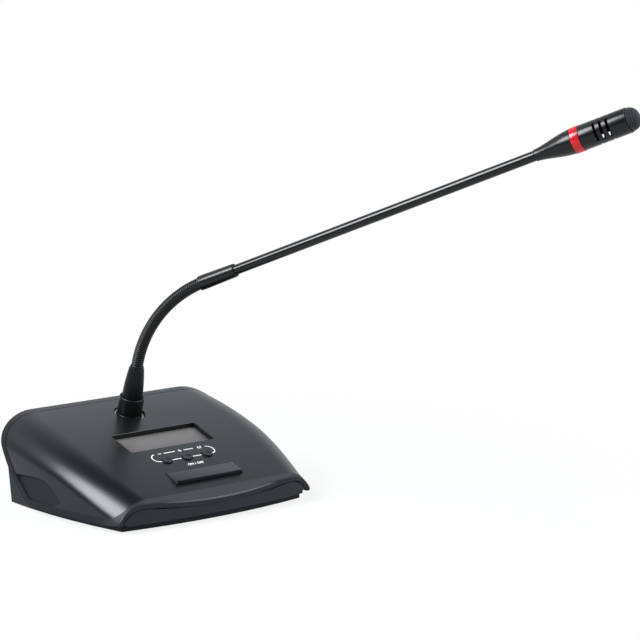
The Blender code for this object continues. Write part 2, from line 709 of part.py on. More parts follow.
def make_case():
    """Tray with floor, side walls and leaning rear wall, cut to fit under the cover."""
    above = REAR_TOP_Z + CUT_OVERRUN
    block = loft_mesh("lower_case", [case_outline(0, CASE_BOTTOM_Z), case_outline(0, above)])
    case = add_object("lower_case", block, CASE_ABS)
    room = helper("under_cover", under_cover_mesh("under_cover", COVER_WALL + FIT_GAP))
    combine(case, room, "INTERSECT")
    cavity = loft_mesh("case_cavity", [case_outline(CASE_WALL, FLOOR_TOP_Z),
                                       case_outline(CASE_WALL, above + CUT_OVERRUN)])
    cut(case, helper("case_cavity", cavity))
    fascia_half = fascia_half_width() + FIT_GAP
    opening = block_mesh("fascia_opening", (-fascia_half, fascia_half),
                         (CASE_FRONT_Y - CASE_FRONT_BOW * 2, CASE_FRONT_Y + CASE_WALL + CUT_OVERRUN),
                         (CASE_BOTTOM_Z + CASE_RIM_HEIGHT, above + CUT_OVERRUN))
    cut(case, helper("fascia_opening", opening))
    for number, (x, y) in enumerate(screw_places(), 1):
        spot = Matrix.Translation((x, y, 0))
        boss = cylinder_mesh("case_boss_%d" % number, BOSS_RADIUS, CASE_BOTTOM_Z + CASE_FLOOR / 2,
                             FLOOR_TOP_Z + BOSS_HEIGHT, 16)
        join(case, helper("case_boss_%d" % number, boss, spot))
        head_top = CASE_BOTTOM_Z + SCREW_HEAD + FIT_GAP * 2
        bore = turned_mesh("case_bore_%d" % number, [
            (0, CASE_BOTTOM_Z - CUT_OVERRUN), (SCREW_HEAD_RADIUS + FIT_GAP, CASE_BOTTOM_Z - CUT_OVERRUN),
            (SCREW_HEAD_RADIUS + FIT_GAP, head_top), (SCREW_HOLE_RADIUS, head_top),
            (SCREW_HOLE_RADIUS, FLOOR_TOP_Z + BOSS_HEIGHT + CUT_OVERRUN),
            (0, FLOOR_TOP_Z + BOSS_HEIGHT + CUT_OVERRUN)], 16)
        cut(case, helper("case_bore_%d" % number, bore, spot))
    for number, (x, y) in enumerate(pillar_places(), 1):
        pillar = cylinder_mesh("board_pillar_%d" % number, PILLAR_RADIUS,
                               CASE_BOTTOM_Z + CASE_FLOOR / 2, BOARD_Z - FIT_GAP, 12)
        join(case, helper("board_pillar_%d" % number, pillar, Matrix.Translation((x, y, 0))))
    for number, (x, y) in enumerate(foot_places(), 1):
        recess = cylinder_mesh("foot_recess_%d" % number, FOOT_RADIUS + FIT_GAP,
                               CASE_BOTTOM_Z - CUT_OVERRUN, FOOT_THICKNESS + FIT_GAP)
        cut(case, helper("foot_recess_%d" % number, recess, Matrix.Translation((x, y, 0))))
    bay = block_mesh("bay_opening", *bay_ranges(0), (CASE_BOTTOM_Z - CUT_OVERRUN, FLOOR_TOP_Z + CUT_OVERRUN))
    cut(case, helper("bay_opening", bay))
    ledge = block_mesh("door_recess", *bay_ranges(BAY_LEDGE),
                       (CASE_BOTTOM_Z - CUT_OVERRUN, CASE_BOTTOM_Z + DOOR_THICKNESS + FIT_GAP))
    cut(case, helper("door_recess", ledge))
    return case


def fascia_half_width():
    return side_x(CASE_FRONT_Y) - CASE_INSET - CASE_WALL


def bay_ranges(margin):
    x = BAY_LENGTH / 2 + margin
    y = BAY_WIDTH / 2 + margin
    return (-x, x), (BAY_Y - y, BAY_Y + y)


def pillar_places():
    x = BOARD_WIDTH / 2 - PILLAR_INSET
    return [(side * x, y) for y in (BOARD_FRONT + PILLAR_INSET, BOARD_REAR - PILLAR_INSET)
            for side in (-1, 1)]


def foot_places():
    return corner_places(CASE_FRONT_Y + FOOT_END_MARGIN, REAR_WALL_Y - FOOT_END_MARGIN, FOOT_SIDE_MARGIN)


def make_fascia():
    """Bowed front panel that stands on the case's rim under the lip."""
    half = fascia_half_width()
    low = CASE_BOTTOM_Z + CASE_RIM_HEIGHT + FIT_GAP
    rings = []
    for share in np.linspace(-1, 1, 13):
        x = half * share
        plan = share * half / (half + CASE_WALL)
        y = CASE_FRONT_Y - CASE_FRONT_BOW * (1 - plan ** 2) + FIT_GAP
        back = y + CASE_WALL
        inset = COVER_WALL + FIT_GAP
        ring = [(x, y, low), (x, y, surface_z(x, y, inset) - FIT_GAP),
                (x, back, surface_z(x, back, inset) - FIT_GAP), (x, back, low)]
        rings.append(ring)
    fascia = add_object("front_fascia", loft_mesh("front_fascia", rings), FASCIA_ABS)
    shade_round(fascia)
    return fascia


def make_feet_and_screws():
    for number, (x, y) in enumerate(foot_places(), 1):
        foot = cylinder_mesh("rubber_foot_%d" % number, FOOT_RADIUS, 0, FOOT_THICKNESS)
        shade_round(add_object("rubber_foot_%d" % number, foot, FOOT_RUBBER,
                               Matrix.Translation((x, y, 0))))
    low = CASE_BOTTOM_Z + FIT_GAP
    tip = FLOOR_TOP_Z + BOSS_HEIGHT + SCREW_REACH
    for number, (x, y) in enumerate(screw_places(), 1):
        outline = [(0, low), (SCREW_HEAD_RADIUS, low), (SCREW_HEAD_RADIUS, low + SCREW_HEAD),
                   (SCREW_RADIUS, low + SCREW_HEAD), (SCREW_RADIUS, tip), (0, tip)]
        screw = add_object("case_screw_%d" % number, turned_mesh("case_screw_%d" % number, outline, 12),
                           STEEL, Matrix.Translation((x, y, 0)))
        shade_round(screw)


def make_inside():
    """Ballast, battery bay with its cells and contacts, main board and radio."""
    seat = FLOOR_TOP_Z + FIT_GAP
    add_object("ballast_plate", block_mesh("ballast_plate", (-BALLAST_HALF_WIDTH, BALLAST_HALF_WIDTH),
                                           (BALLAST_FRONT, BALLAST_FRONT + BALLAST_LENGTH),
                                           (seat, seat + BALLAST_THICKNESS)), STEEL)
    door_x, door_y = bay_ranges(BAY_LEDGE - FIT_GAP)
    add_object("battery_door", block_mesh("battery_door", door_x, door_y,
                                          (CASE_BOTTOM_Z, CASE_BOTTOM_Z + DOOR_THICKNESS)), CASE_ABS)
    box = add_object("battery_box", block_mesh("battery_box", *bay_ranges(BAY_WALL),
                                               (seat, BAY_ROOF_Z + BAY_WALL)), SWITCH_PLASTIC)
    cut(box, helper("battery_room", block_mesh("battery_room", *bay_ranges(0),
                                               (seat - CUT_OVERRUN, BAY_ROOF_Z))))
    for number, side in enumerate((-1, 1), 1):
        spot = Matrix.Translation((0, BAY_Y + side * (CELL_RADIUS + FIT_GAP / 2), CELL_Z))
        bar = cross_bar("battery_cell_%d" % number, CELL_RADIUS, -CELL_LENGTH / 2, CELL_LENGTH / 2, 20)
        shade_round(add_object("battery_cell_%d" % number, bar, CELL_WRAP, spot))
        x = side * (CELL_LENGTH / 2 + FIT_GAP)
        ends = sorted((x, x + side * CONTACT_THICKNESS))
        y_range = (BAY_Y - BAY_WIDTH / 2 + FIT_GAP, BAY_Y + BAY_WIDTH / 2 - FIT_GAP)
        add_object("battery_contact_%d" % number,
                   block_mesh("battery_contact_%d" % number, ends, y_range,
                              (CELL_Z - CONTACT_HEIGHT / 2, CELL_Z + CONTACT_HEIGHT / 2)), NICKEL)
    add_object("main_board", block_mesh("main_board", (-BOARD_WIDTH / 2, BOARD_WIDTH / 2),
                                        (BOARD_FRONT, BOARD_REAR),
                                        (BOARD_Z, BOARD_Z + BOARD_THICKNESS)), BOARD_GREEN)
    top = BOARD_Z + BOARD_THICKNESS + FIT_GAP
    radio_x = -BOARD_WIDTH / 2 + RADIO_END_INSET
    radio_y = BOARD_REAR - RADIO_REAR_INSET - RADIO_WIDTH
    antenna_x = BOARD_WIDTH / 2 - ANTENNA_END_INSET - ANTENNA_LENGTH
    antenna_y = BOARD_REAR - ANTENNA_REAR_INSET
    add_object("radio_can", block_mesh("radio_can", (radio_x, radio_x + RADIO_LENGTH),
                                       (radio_y, radio_y + RADIO_WIDTH), (top, top + RADIO_HEIGHT)), NICKEL)
    add_object("antenna_strip", block_mesh("antenna_strip", (antenna_x, antenna_x + ANTENNA_LENGTH),
                                           (antenna_y, antenna_y + ANTENNA_WIDTH),
                                           (top, top + ANTENNA_HEIGHT)), BOARD_GREEN)


def make_display():
    """Window under the opening, display module behind it."""
    top = -LCD_DEPTH
    window = lcd_block("lcd_window", WINDOW_MARGIN, top - WINDOW_THICKNESS, top)
    add_object("lcd_window", window, WINDOW_ACRYLIC, LCD_FRAME)
    top -= WINDOW_THICKNESS + FIT_GAP
    module = lcd_block("lcd_module", LCD_MODULE_MARGIN, top - LCD_MODULE_THICKNESS, top)
    add_object("lcd_module", module, LCD_GLASS, LCD_FRAME)


# Buttons and key

BUTTON_NAMES = ("volume_down_button", "volume_up_button", "mute_button")


def make_buttons():
    """Round caps with a dished top and a flange that keeps them in."""
    flange_top = -COVER_WALL - FIT_GAP * 2
    flange_low = flange_top - BUTTON_FLANGE
    outline = [(0, flange_low), (BUTTON_FLANGE_RADIUS, flange_low), (BUTTON_FLANGE_RADIUS, flange_top),
               (BUTTON_RADIUS, flange_top), (BUTTON_RADIUS, BUTTON_PROUD * 3 / 4),
               (BUTTON_RADIUS * 7 / 8, BUTTON_PROUD),
               (BUTTON_RADIUS / 2, BUTTON_PROUD - BUTTON_DISH * 2 / 3),
               (0, BUTTON_PROUD - BUTTON_DISH)]
    for name, k in zip(BUTTON_NAMES, (-1, 0, 1)):
        spot = PANEL_FRAME @ Matrix.Translation((k * BUTTON_PITCH, BUTTON_ROW, 0))
        axis = add_axis(name + "_axis", spot)
        shade_round(add_object(name, turned_mesh(name, outline), KEY_ABS, spot, axis))


def make_key():
    """Wide wedge key: its rear edge is nearly flush, its front stands proud, a pin carries its rear."""
    rear = KEY_ROW + KEY_LENGTH / 2
    front = KEY_ROW - KEY_LENGTH / 2
    half = KEY_WIDTH / 2
    axis = add_axis("on_off_key_axis", pin_frame())
    rings = []
    for x in (-half, half):
        rings.append([(x, front, -KEY_DEPTH), (x, rear, -KEY_DEPTH), (x, rear, KEY_REAR_PROUD),
                      (x, front, KEY_FRONT_PROUD)])
    key = add_object("on_off_key", loft_mesh("on_off_key", rings), KEY_ABS, PANEL_FRAME, axis)
    pin_y = key_pin_row()
    for side in (-1, 1):
        name = "key_lug_%s" % ("left" if side < 0 else "right")
        x = side * KEY_LUG_X
        lug = block_mesh(name, (x - KEY_LUG_WIDTH / 2, x + KEY_LUG_WIDTH / 2),
                         (pin_y - KEY_LUG_RADIUS, pin_y + KEY_LUG_RADIUS),
                         (-KEY_PIN_DEPTH - KEY_LUG_RADIUS, -KEY_DEPTH / 2))
        join(key, helper(name, lug, PANEL_FRAME))
        bore = cross_bar(name + "_bore", KEY_PIN_RADIUS + FIT_GAP,
                         x - KEY_LUG_WIDTH, x + KEY_LUG_WIDTH)
        cut(key, helper(name + "_bore", bore, pin_frame()))
    reach = KEY_BRACKET_X + KEY_BRACKET_WIDTH / 2
    shade_round(add_object("key_hinge_pin", cross_bar("key_hinge_pin", KEY_PIN_RADIUS, -reach, reach),
                           STEEL, pin_frame()))


def make_switch(name, x, y, plunger_top):
    """Push switch on the key board: square body with a round plunger."""
    low = -KEY_BOARD_DEPTH + FIT_GAP
    half = SWITCH_SIDE / 2
    body = add_object(name, block_mesh(name, (-half, half), (-half, half), (low, low + SWITCH_HEIGHT)),
                      SWITCH_PLASTIC, PANEL_FRAME @ Matrix.Translation((x, y, 0)))
    plunger = cylinder_mesh(name + "_plunger", PLUNGER_RADIUS, low + SWITCH_HEIGHT / 2, plunger_top, 12)
    join(body, helper(name + "_plunger", plunger, PANEL_FRAME @ Matrix.Translation((x, y, 0))))


def make_key_board():
    """Small board on the cover's posts, with a switch under each button and one under the key."""
    half = KEY_BOARD_WIDTH / 2
    add_object("key_board", block_mesh("key_board", (-half, half), (KEY_BOARD_FRONT, KEY_BOARD_REAR),
                                       (-KEY_BOARD_DEPTH - BOARD_THICKNESS, -KEY_BOARD_DEPTH)),
               BOARD_GREEN, PANEL_FRAME)
    under_cap = -COVER_WALL - FIT_GAP * 2 - BUTTON_FLANGE - BUTTON_TRAVEL - FIT_GAP
    for name, k in zip(BUTTON_NAMES, (-1, 0, 1)):
        make_switch(name.replace("button", "switch"), k * BUTTON_PITCH, BUTTON_ROW, under_cap)
    key_travel = (key_pin_row() - KEY_ROW) * math.tan(KEY_PRESS)
    make_switch("on_off_switch", 0, KEY_ROW, -KEY_DEPTH - key_travel - FIT_GAP)


# Microphone socket and plug

def make_socket():
    """Nickel socket shell held under the cover, with its insert."""
    lean_room = SOCKET_FLANGE_RADIUS * math.tan(MIC_LEAN - top_slope(MIC_Y))
    bow_room = SOCKET_FLANGE_RADIUS ** 2 / (2 * TOP_RADIUS)
    flange_top = -COVER_WALL - lean_room - bow_room - FIT_GAP
    outline = [(SOCKET_BORE, SOCKET_BOTTOM), (SOCKET_RADIUS, SOCKET_BOTTOM),
               (SOCKET_RADIUS, flange_top - SOCKET_FLANGE),
               (SOCKET_FLANGE_RADIUS, flange_top - SOCKET_FLANGE),
               (SOCKET_FLANGE_RADIUS, flange_top), (SOCKET_RADIUS, flange_top),
               (SOCKET_RADIUS, SOCKET_TOP), (SOCKET_BORE, SOCKET_TOP)]
    shade_round(add_object("mic_socket", turned_mesh("mic_socket", outline, FINE_SIDES), NICKEL, MIC_FRAME))
    foot = SOCKET_BOTTOM + SOCKET_FLANGE
    outline = [(0, SOCKET_BOTTOM), (SOCKET_BORE - FIT_GAP, SOCKET_BOTTOM), (SOCKET_BORE - FIT_GAP, foot),
               (INSERT_RADIUS, foot), (INSERT_RADIUS, INSERT_TOP), (0, INSERT_TOP)]
    insert = add_object("socket_insert", turned_mesh("socket_insert", outline), SWITCH_PLASTIC, MIC_FRAME)
    for number, (x, y) in enumerate(pin_places(), 1):
        name = "pin_bore_%d" % number
        bore = cylinder_mesh(name, PIN_BORE, INSERT_TOP - PIN_LENGTH, INSERT_TOP + CUT_OVERRUN, 12)
        cut(insert, helper(name, bore, MIC_FRAME @ Matrix.Translation((x, y, 0))))


def pin_places():
    angles = (math.radians(30), math.radians(150), math.radians(270))
    return [(PIN_RING * math.cos(a), PIN_RING * math.sin(a)) for a in angles]


def make_plug():
    """Plug shell, its insert and the three contact pins."""
    axis = add_axis("mic_unplug_axis", MIC_FRAME)
    outline = [(COLLAR_BORE, COLLAR_BOTTOM), (COLLAR_RADIUS, COLLAR_BOTTOM), (COLLAR_RADIUS, COLLAR_TOP),
               (COLLAR_BORE, COLLAR_TOP)]
    shade_round(add_object("plug_collar", turned_mesh("plug_collar", outline, FINE_SIDES), BOOT_RUBBER,
                           MIC_FRAME, axis))
    top = PLUG_INSERT_BOTTOM + PLUG_INSERT_THICKNESS
    insert = cylinder_mesh("plug_insert", COLLAR_BORE - FIT_GAP, PLUG_INSERT_BOTTOM, top)
    shade_round(add_object("plug_insert", insert, SWITCH_PLASTIC, MIC_FRAME, axis))
    for number, (x, y) in enumerate(pin_places(), 1):
        pin = cylinder_mesh("contact_pin_%d" % number, PIN_RADIUS,
                            PLUG_INSERT_BOTTOM - FIT_GAP - PIN_LENGTH, PLUG_INSERT_BOTTOM - FIT_GAP, 12)
        shade_round(add_object("contact_pin_%d" % number, pin, NICKEL,
                               MIC_FRAME @ Matrix.Translation((x, y, 0)), axis))
    return axis


# Neck path in its own plane: (distance along the plug's axis, distance sideways)

LINK_BEND = NECK_BEND / HINGE_COUNT


def arc_step(place_and_angle, turn, length):
    """Move along a circular arc of the given turn and length."""
    x, y, angle = place_and_angle
    chord = length if turn == 0 else length * math.sin(turn / 2) / (turn / 2)
    middle = angle + turn / 2
    return x + chord * math.cos(middle), y + chord * math.sin(middle), angle + turn


def neck_state(s):
    """Place and direction of the neck's centre line at the distance s from the boot's top."""
    state = (0.0, 0.0, 0.0)
    if s <= 0:
        return s, 0.0, 0.0
    stages = [(HINGE_FIRST, LINK_BEND / 2), (HINGE_PITCH * (HINGE_COUNT - 1), LINK_BEND * (HINGE_COUNT - 1)),
              (HINGE_LAST, LINK_BEND / 2)]
    for length, turn in stages:
        step = min(s, length)
        state = arc_step(state, turn * step / length, step)
        s -= step
        if s <= 0:
            break
    return state


NECK_FRAME = MIC_FRAME @ Matrix.Translation((0, 0, BOOT_TOP)) @ Matrix.Rotation(NECK_TURN, 4, "Z")


def neck_frame_at(s):
    """World frame on the neck: Z along it, X on the bending axis."""
    along, aside, angle = neck_state(s)
    local = Matrix.Translation((0, -aside, along)) @ Matrix.Rotation(angle, 4, "X")
    return NECK_FRAME @ local


def hinge_distance(number):
    return HINGE_FIRST + HINGE_PITCH * (number - 1)


def ribbed_link(name, start, end, ribs, finish, parent, plain_start=None):
    """A length of ribbed hose with its bore: each rib is a crest point between two valleys."""
    count = 2 * ribs
    outer, inner = [], []
    if plain_start is not None:
        outer.append(hose_ring(neck_frame_at(plain_start), NECK_VALLEY))
        inner.append(hose_ring(neck_frame_at(plain_start), NECK_BORE))
    for k in range(count + 1):
        frame = neck_frame_at(start + (end - start) * k / count)
        radius = NECK_CREST if k % 2 else NECK_VALLEY
        outer.append(hose_ring(frame, radius))
        if k % 4 == 0 or k == count:
            inner.append(hose_ring(frame, NECK_BORE))
    home = WORLD_OF[parent.name].inverted()
    rings = [[home @ point for point in ring] for ring in outer + inner[::-1]]
    link = add_object(name, loft_mesh(name, rings, closed_path=True), finish,
                      WORLD_OF[parent.name], parent)
    link.data.shade_smooth()
    return link


def hose_ring(frame, radius):
    """Eight-sided ring of the hose about a frame on its centre line."""
    angles = [2 * math.pi * (k + 0.5) / NECK_SIDES for k in range(NECK_SIDES)]
    return [frame @ Vector((radius * math.cos(a), radius * math.sin(a), 0)) for a in angles]


def make_neck(plug_axis):
    """Boot and ribbed links on a chain of parallel hinges; returns the last hinge's empty."""
    foot_axis = add_axis("neck_turn_axis", NECK_FRAME, plug_axis)
    height = BOOT_TOP - BOOT_FOOT
    outline = [(BOOT_RADIUS * radius, BOOT_FOOT + height * share) for share, radius in BOOT_SHARES]
    bore = NECK_VALLEY + FIT_GAP
    outline += [(bore, BOOT_TOP), (bore, BOOT_TOP - NECK_SOCKET - FIT_GAP),
                (NECK_BORE, BOOT_TOP - NECK_SOCKET - FIT_GAP), (NECK_BORE, BOOT_TOP - NECK_SOCKET * 2),
                (BOOT_RADIUS - BOOT_WALL, BOOT_FOOT + height / 3), (BOOT_RADIUS - BOOT_WALL, BOOT_FOOT)]
    turned = Matrix.Rotation(NECK_TURN, 4, "Z")
    shade_round(add_object("boot", turned_mesh("boot", outline), BOOT_RUBBER, MIC_FRAME @ turned, foot_axis))
    ribbed_link("neck_link_0", FIT_GAP, hinge_distance(1) - NECK_GAP / 2, RIBS_PER_LINK // 2,
                NECK_STEEL, foot_axis, plain_start=-NECK_SOCKET)
    parent = foot_axis
    for number in range(1, HINGE_COUNT + 1):
        here = hinge_distance(number)
        parent = add_axis("neck_bend_axis_%d" % number, neck_frame_at(here), parent)
        if number < HINGE_COUNT:
            ribbed_link("neck_link_%d" % number, here + NECK_GAP / 2,
                        hinge_distance(number + 1) - NECK_GAP / 2, RIBS_PER_LINK, NECK_STEEL, parent)
        else:
            ribbed_link("neck_link_%d" % number, here + NECK_GAP / 2, here + HINGE_LAST,
                        RIBS_PER_LINK // 4, NECK_STEEL, parent)
    return parent


# Arm and head

def make_arm(last_axis):
    """Ferrule, tube and the microphone head, all in line."""
    arm = neck_frame_at(hinge_distance(HINGE_COUNT) + HINGE_LAST)

    def turned(name, outline, finish, sides=ROUND_SIDES):
        thing = add_object(name, turned_mesh(name, outline, sides), finish, arm, last_axis)
        shade_round(thing)
        return thing

    tube_low = FERRULE_LENGTH - TUBE_INSERTION
    seat = TUBE_RADIUS + FIT_GAP
    turned("ferrule", [(FERRULE_BORE, FIT_GAP), (FERRULE_RADIUS, FIT_GAP),
                       (FERRULE_TIP_RADIUS, FERRULE_LENGTH), (seat, FERRULE_LENGTH),
                       (seat, tube_low - FIT_GAP), (FERRULE_BORE, tube_low - FIT_GAP)], TUBE_PAINT)
    tube_high = HEAD_START + CONE_GRIP - FIT_GAP
    bore = TUBE_RADIUS - TUBE_WALL
    turned("stem_tube", [(bore, tube_low), (TUBE_RADIUS, tube_low), (TUBE_RADIUS, tube_high),
                         (bore, tube_high)], TUBE_PAINT)
    ring_low = HEAD_START + CONE_LENGTH
    growth = HEAD_RADIUS - CONE_RADIUS
    outer = [(CONE_RADIUS + growth * grow, HEAD_START + CONE_LENGTH * share) for share, grow in CONE_SHARES]
    inner = [(radius - HEAD_WALL, z) for radius, z in outer[2:]]
    grip = HEAD_START + CONE_GRIP
    turned("head_cone", outer + inner[::-1] + [(NECK_BORE, grip), (seat, grip), (seat, HEAD_START)],
           HEAD_PAINT)
    body_low = ring_low + RING_LENGTH
    turned("led_ring", [(RING_RADIUS - RING_WALL, ring_low + FIT_GAP), (RING_RADIUS, ring_low + FIT_GAP),
                        (RING_RADIUS, body_low - FIT_GAP), (RING_RADIUS - RING_WALL, body_low - FIT_GAP)],
           RING_LENS)
    body_high = body_low + BODY_LENGTH
    wall = HEAD_RADIUS - HEAD_WALL
    spigot_low = ring_low - SPIGOT_REACH
    body = turned("head_body", [(SPIGOT_RADIUS - SPIGOT_WALL, spigot_low), (SPIGOT_RADIUS, spigot_low),
                                (SPIGOT_RADIUS, body_low), (HEAD_RADIUS, body_low),
                                (HEAD_RADIUS, body_high), (wall, body_high),
                                (wall, body_low + HEAD_WALL),
                                (SPIGOT_RADIUS - SPIGOT_WALL, body_low + HEAD_WALL)], HEAD_PAINT, FINE_SIDES)
    for row in range(SLOT_ROWS):
        for group in range(SLOT_GROUPS):
            name = "slot_%d_%d" % (row + 1, group + 1)
            low = body_low + SLOT_START + SLOT_PITCH * row
            middle = SLOT_ANGLE + 2 * math.pi * group / SLOT_GROUPS
            cut(body, helper(name, sector_mesh(name, wall - HEAD_WALL, HEAD_RADIUS + HEAD_WALL,
                                               low, low + SLOT_WIDTH, middle), arm))
    turned("led_board", [(LED_BOARD_BORE, ring_low + HEAD_WALL), (LED_BOARD_RADIUS, ring_low + HEAD_WALL),
                         (LED_BOARD_RADIUS, ring_low + HEAD_WALL + LED_BOARD_THICKNESS),
                         (LED_BOARD_BORE, ring_low + HEAD_WALL + LED_BOARD_THICKNESS)], BOARD_GREEN)
    holder_low = body_high - HOLDER_SETBACK
    turned("capsule_holder", [(CAPSULE_RADIUS + FIT_GAP, holder_low), (wall - FIT_GAP, holder_low),
                              (wall - FIT_GAP, holder_low + HOLDER_LENGTH),
                              (CAPSULE_RADIUS + FIT_GAP, holder_low + HOLDER_LENGTH)], FOOT_RUBBER)
    turned("mic_capsule", [(0, holder_low), (CAPSULE_RADIUS, holder_low),
                           (CAPSULE_RADIUS, holder_low + CAPSULE_LENGTH),
                           (0, holder_low + CAPSULE_LENGTH)], CAPSULE_CAN)
    screen_low = body_high + FIT_GAP
    steps = [math.pi / 2 * k / 6 for k in range(7)]
    outer = [(SCREEN_RADIUS * math.cos(a), screen_low + SCREEN_HEIGHT * math.sin(a)) for a in steps[:-1]]
    shell = SCREEN_RADIUS - SCREEN_WALL
    dome = SCREEN_HEIGHT - SCREEN_WALL
    inner = [(shell * math.cos(a), screen_low + dome * math.sin(a)) for a in steps[:-1]]
    turned("windscreen", outer + [(0, screen_low + SCREEN_HEIGHT), (0, screen_low + dome)] + inner[::-1],
           SCREEN_MESH)


def sector_mesh(name, low_radius, high_radius, low, high, middle, steps=8):
    """A ring sector about Z: one circumferential slot."""
    rings = []
    for k in range(steps + 1):
        angle = middle - SLOT_ARC / 2 + SLOT_ARC * k / steps
        c, s = math.cos(angle), math.sin(angle)
        rings.append([(low_radius * c, low_radius * s, low), (high_radius * c, high_radius * s, low),
                      (high_radius * c, high_radius * s, high), (low_radius * c, low_radius * s, high)])
    return loft_mesh(name, rings)


make_cover()
make_case()
make_fascia()
make_feet_and_screws()
make_inside()
make_display()
make_buttons()
make_key()
make_key_board()
make_socket()
make_arm(make_neck(make_plug()))
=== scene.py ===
"""Looks of the conference delegate unit: a wedge-shaped desk base with a plug-in gooseneck microphone.

Laid out as an add-on and run as a script. Metres, +Z up, the unit faces -Y.
"""
import math
from types import SimpleNamespace

import bmesh
import bpy
import numpy as np
from mathutils import Matrix, Vector


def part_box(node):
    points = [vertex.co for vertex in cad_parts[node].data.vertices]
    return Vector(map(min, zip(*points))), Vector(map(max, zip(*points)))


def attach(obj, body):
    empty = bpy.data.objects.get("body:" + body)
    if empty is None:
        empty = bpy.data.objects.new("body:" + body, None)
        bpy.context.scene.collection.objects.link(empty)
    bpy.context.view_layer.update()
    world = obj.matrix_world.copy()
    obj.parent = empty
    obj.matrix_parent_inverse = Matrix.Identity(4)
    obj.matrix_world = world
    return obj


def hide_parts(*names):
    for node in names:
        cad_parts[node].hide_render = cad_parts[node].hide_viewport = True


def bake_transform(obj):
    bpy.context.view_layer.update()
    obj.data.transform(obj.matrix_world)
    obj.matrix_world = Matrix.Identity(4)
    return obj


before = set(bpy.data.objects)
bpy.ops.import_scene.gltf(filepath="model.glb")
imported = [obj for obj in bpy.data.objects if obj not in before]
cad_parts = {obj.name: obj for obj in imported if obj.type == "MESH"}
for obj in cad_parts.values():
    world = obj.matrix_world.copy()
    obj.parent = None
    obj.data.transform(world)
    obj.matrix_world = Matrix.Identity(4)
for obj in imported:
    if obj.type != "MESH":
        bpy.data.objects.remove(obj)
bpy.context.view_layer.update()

bl_info = {
    "name": "Conference delegate unit",
    "version": (1, 0, 0),
    "blender": (4, 5, 0),
    "location": "3D View > Sidebar > Delegate Unit",
    "description": "Dresses the desk unit and its gooseneck microphone",
    "category": "Add Mesh",
}

# The cover's surface, from the same sizes as the part's own source
CASE_BOTTOM_Z = 0.001
COVER_WALL = 0.0028
COVER_HALF_WIDTH = 0.101
SIDE_WIDEST_Y = 0.045
SIDE_BOW_RADIUS = 0.455
REAR_TOP_Y = 0.0749
REAR_TOP_Z = CASE_BOTTOM_Z + 0.0659
REAR_FOOT_Y = 0.029
TOP_RADIUS = 0.62
CREASE_Y = -0.0689
CREASE_Z = CASE_BOTTOM_Z + 0.0223
FRONT_BOW = 0.0065
LIP_DROP = 0.004
CORNER_SETBACK = 0.007
SHOULDER_RUN = (0.022, 0.032)
SHOULDER_DROP = (0.0135, 0.0222)
COVER_EDGE_Z = CASE_BOTTOM_Z + 0.0045
TIP_RISE = 0.002
TIP_RISE_LENGTH = 0.02
REAR_EDGE_SHARES = np.array(((0.0, 0.0), (0.67, 0.33), (0.83, 0.64), (1.0, 1.0)))
FLAT_SHARE = 0.46
SHOULDER_SHARE = 0.86
CROWN_LEAN = math.atan2(REAR_TOP_Z - CREASE_Z, REAR_TOP_Y - CREASE_Y)
CROWN_CHORD = math.hypot(REAR_TOP_Z - CREASE_Z, REAR_TOP_Y - CREASE_Y)
REAR_SLOPE = CROWN_LEAN - math.asin(CROWN_CHORD / 2 / TOP_RADIUS)

# The cover's front corners, which run down slantwise
CORNER_SLANT = 0.5
CORNER_DROP = 0.003
CORNER_REACH = 0.075
SIDE_LEAST = 0.0012

# The panel inside the cover's border strip, sunk at the sides, and the groove beside the strip's slanted part
PANEL_FRONT_CORNER = 0.007
PANEL_REAR_CORNER = 0.003
PANEL_SLOPE = 0.00035
PANEL_FULL_SHARE = 0.75
REAR_CORNER_SHARE = 0.62
GROOVE_FADE = 0.15
GROOVE_PLACE = 0.0006
GROOVE_HALF = 0.0005

# Steps of the cover's grid: over the rounded edges, beside the strip, and behind the crease
RIM_STEPS = np.array([0, 0.02, 0.08, 0.18, 0.3, 0.42]) * 0.001
RIM_END = 0.0009
STRIP_STEPS = np.array([-0.1, 0.05, 0.2, 0.35, 0.5]) * 0.001
REAR_STRIP_STEPS = np.array([2.5, 1.6, 1.1, 0.9, 0.7, 0.5, 0.3, 0.15, 0, -0.15]) * 0.001
CREASE_STEPS = np.concatenate([[0, 0.15, 0.3, 0.45, 0.7, 1.0], np.linspace(1.5, 9, 16)]) * 0.001
CROWN_COLUMNS = 51
MOST_LEAN = 1.9
FAR = 1.0

# The leaf-shaped recess in a side: (y, z) in millimetres along its upper arc and its lower edge, and its floor
LEAF_TOP = np.array([(46.3, 26.9), (40, 27.5), (33.3, 27.9), (26, 28.4), (19.3, 28.5), (13, 28.3),
                     (7.3, 27.2), (2.7, 24.6), (-3, 20.6), (-8.5, 15.9), (-12.3, 10.9)]) / 1000
LEAF_FOOT = np.array([(46.2, 26.2), (42.2, 22.5), (38.0, 18.7), (34.2, 15.3), (30.6, 12.2), (27.6, 10.6),
                      (20, 10.3), (12, 10.3), (4, 10.3), (-5, 10.4), (-12.2, 10.5)]) / 1000
LEAF_FRONT_Y, LEAF_LENGTH = -0.0123, 0.0586
LEAF_LOW_Z, LEAF_HEIGHT = 0.0105, 0.0175
LEAF_LEAST = 0.0002

# The front panel, which stands just behind the lip's edge and closes the overhang beyond the case
FASCIA_SETBACK = 0.0012
FASCIA_BACK_MIDDLE = -0.0678
FASCIA_BACK_BOW = 0.007
FASCIA_BACK = -0.064
FASCIA_END = 0.08
FASCIA_FOOT = 0.0058
FASCIA_WING_FOOT = COVER_EDGE_Z + TIP_RISE + 0.0007
FASCIA_LEAST = 0.0001
FASCIA_CORNER = 0.001
FASCIA_ROUND = 0.0004
FASCIA_END_SHARES = (0.655, 0.69)
FASCIA_ROWS = np.array([0, 0.02, 0.06, 0.15, 0.5, 0.85, 0.94, 0.98, 1])

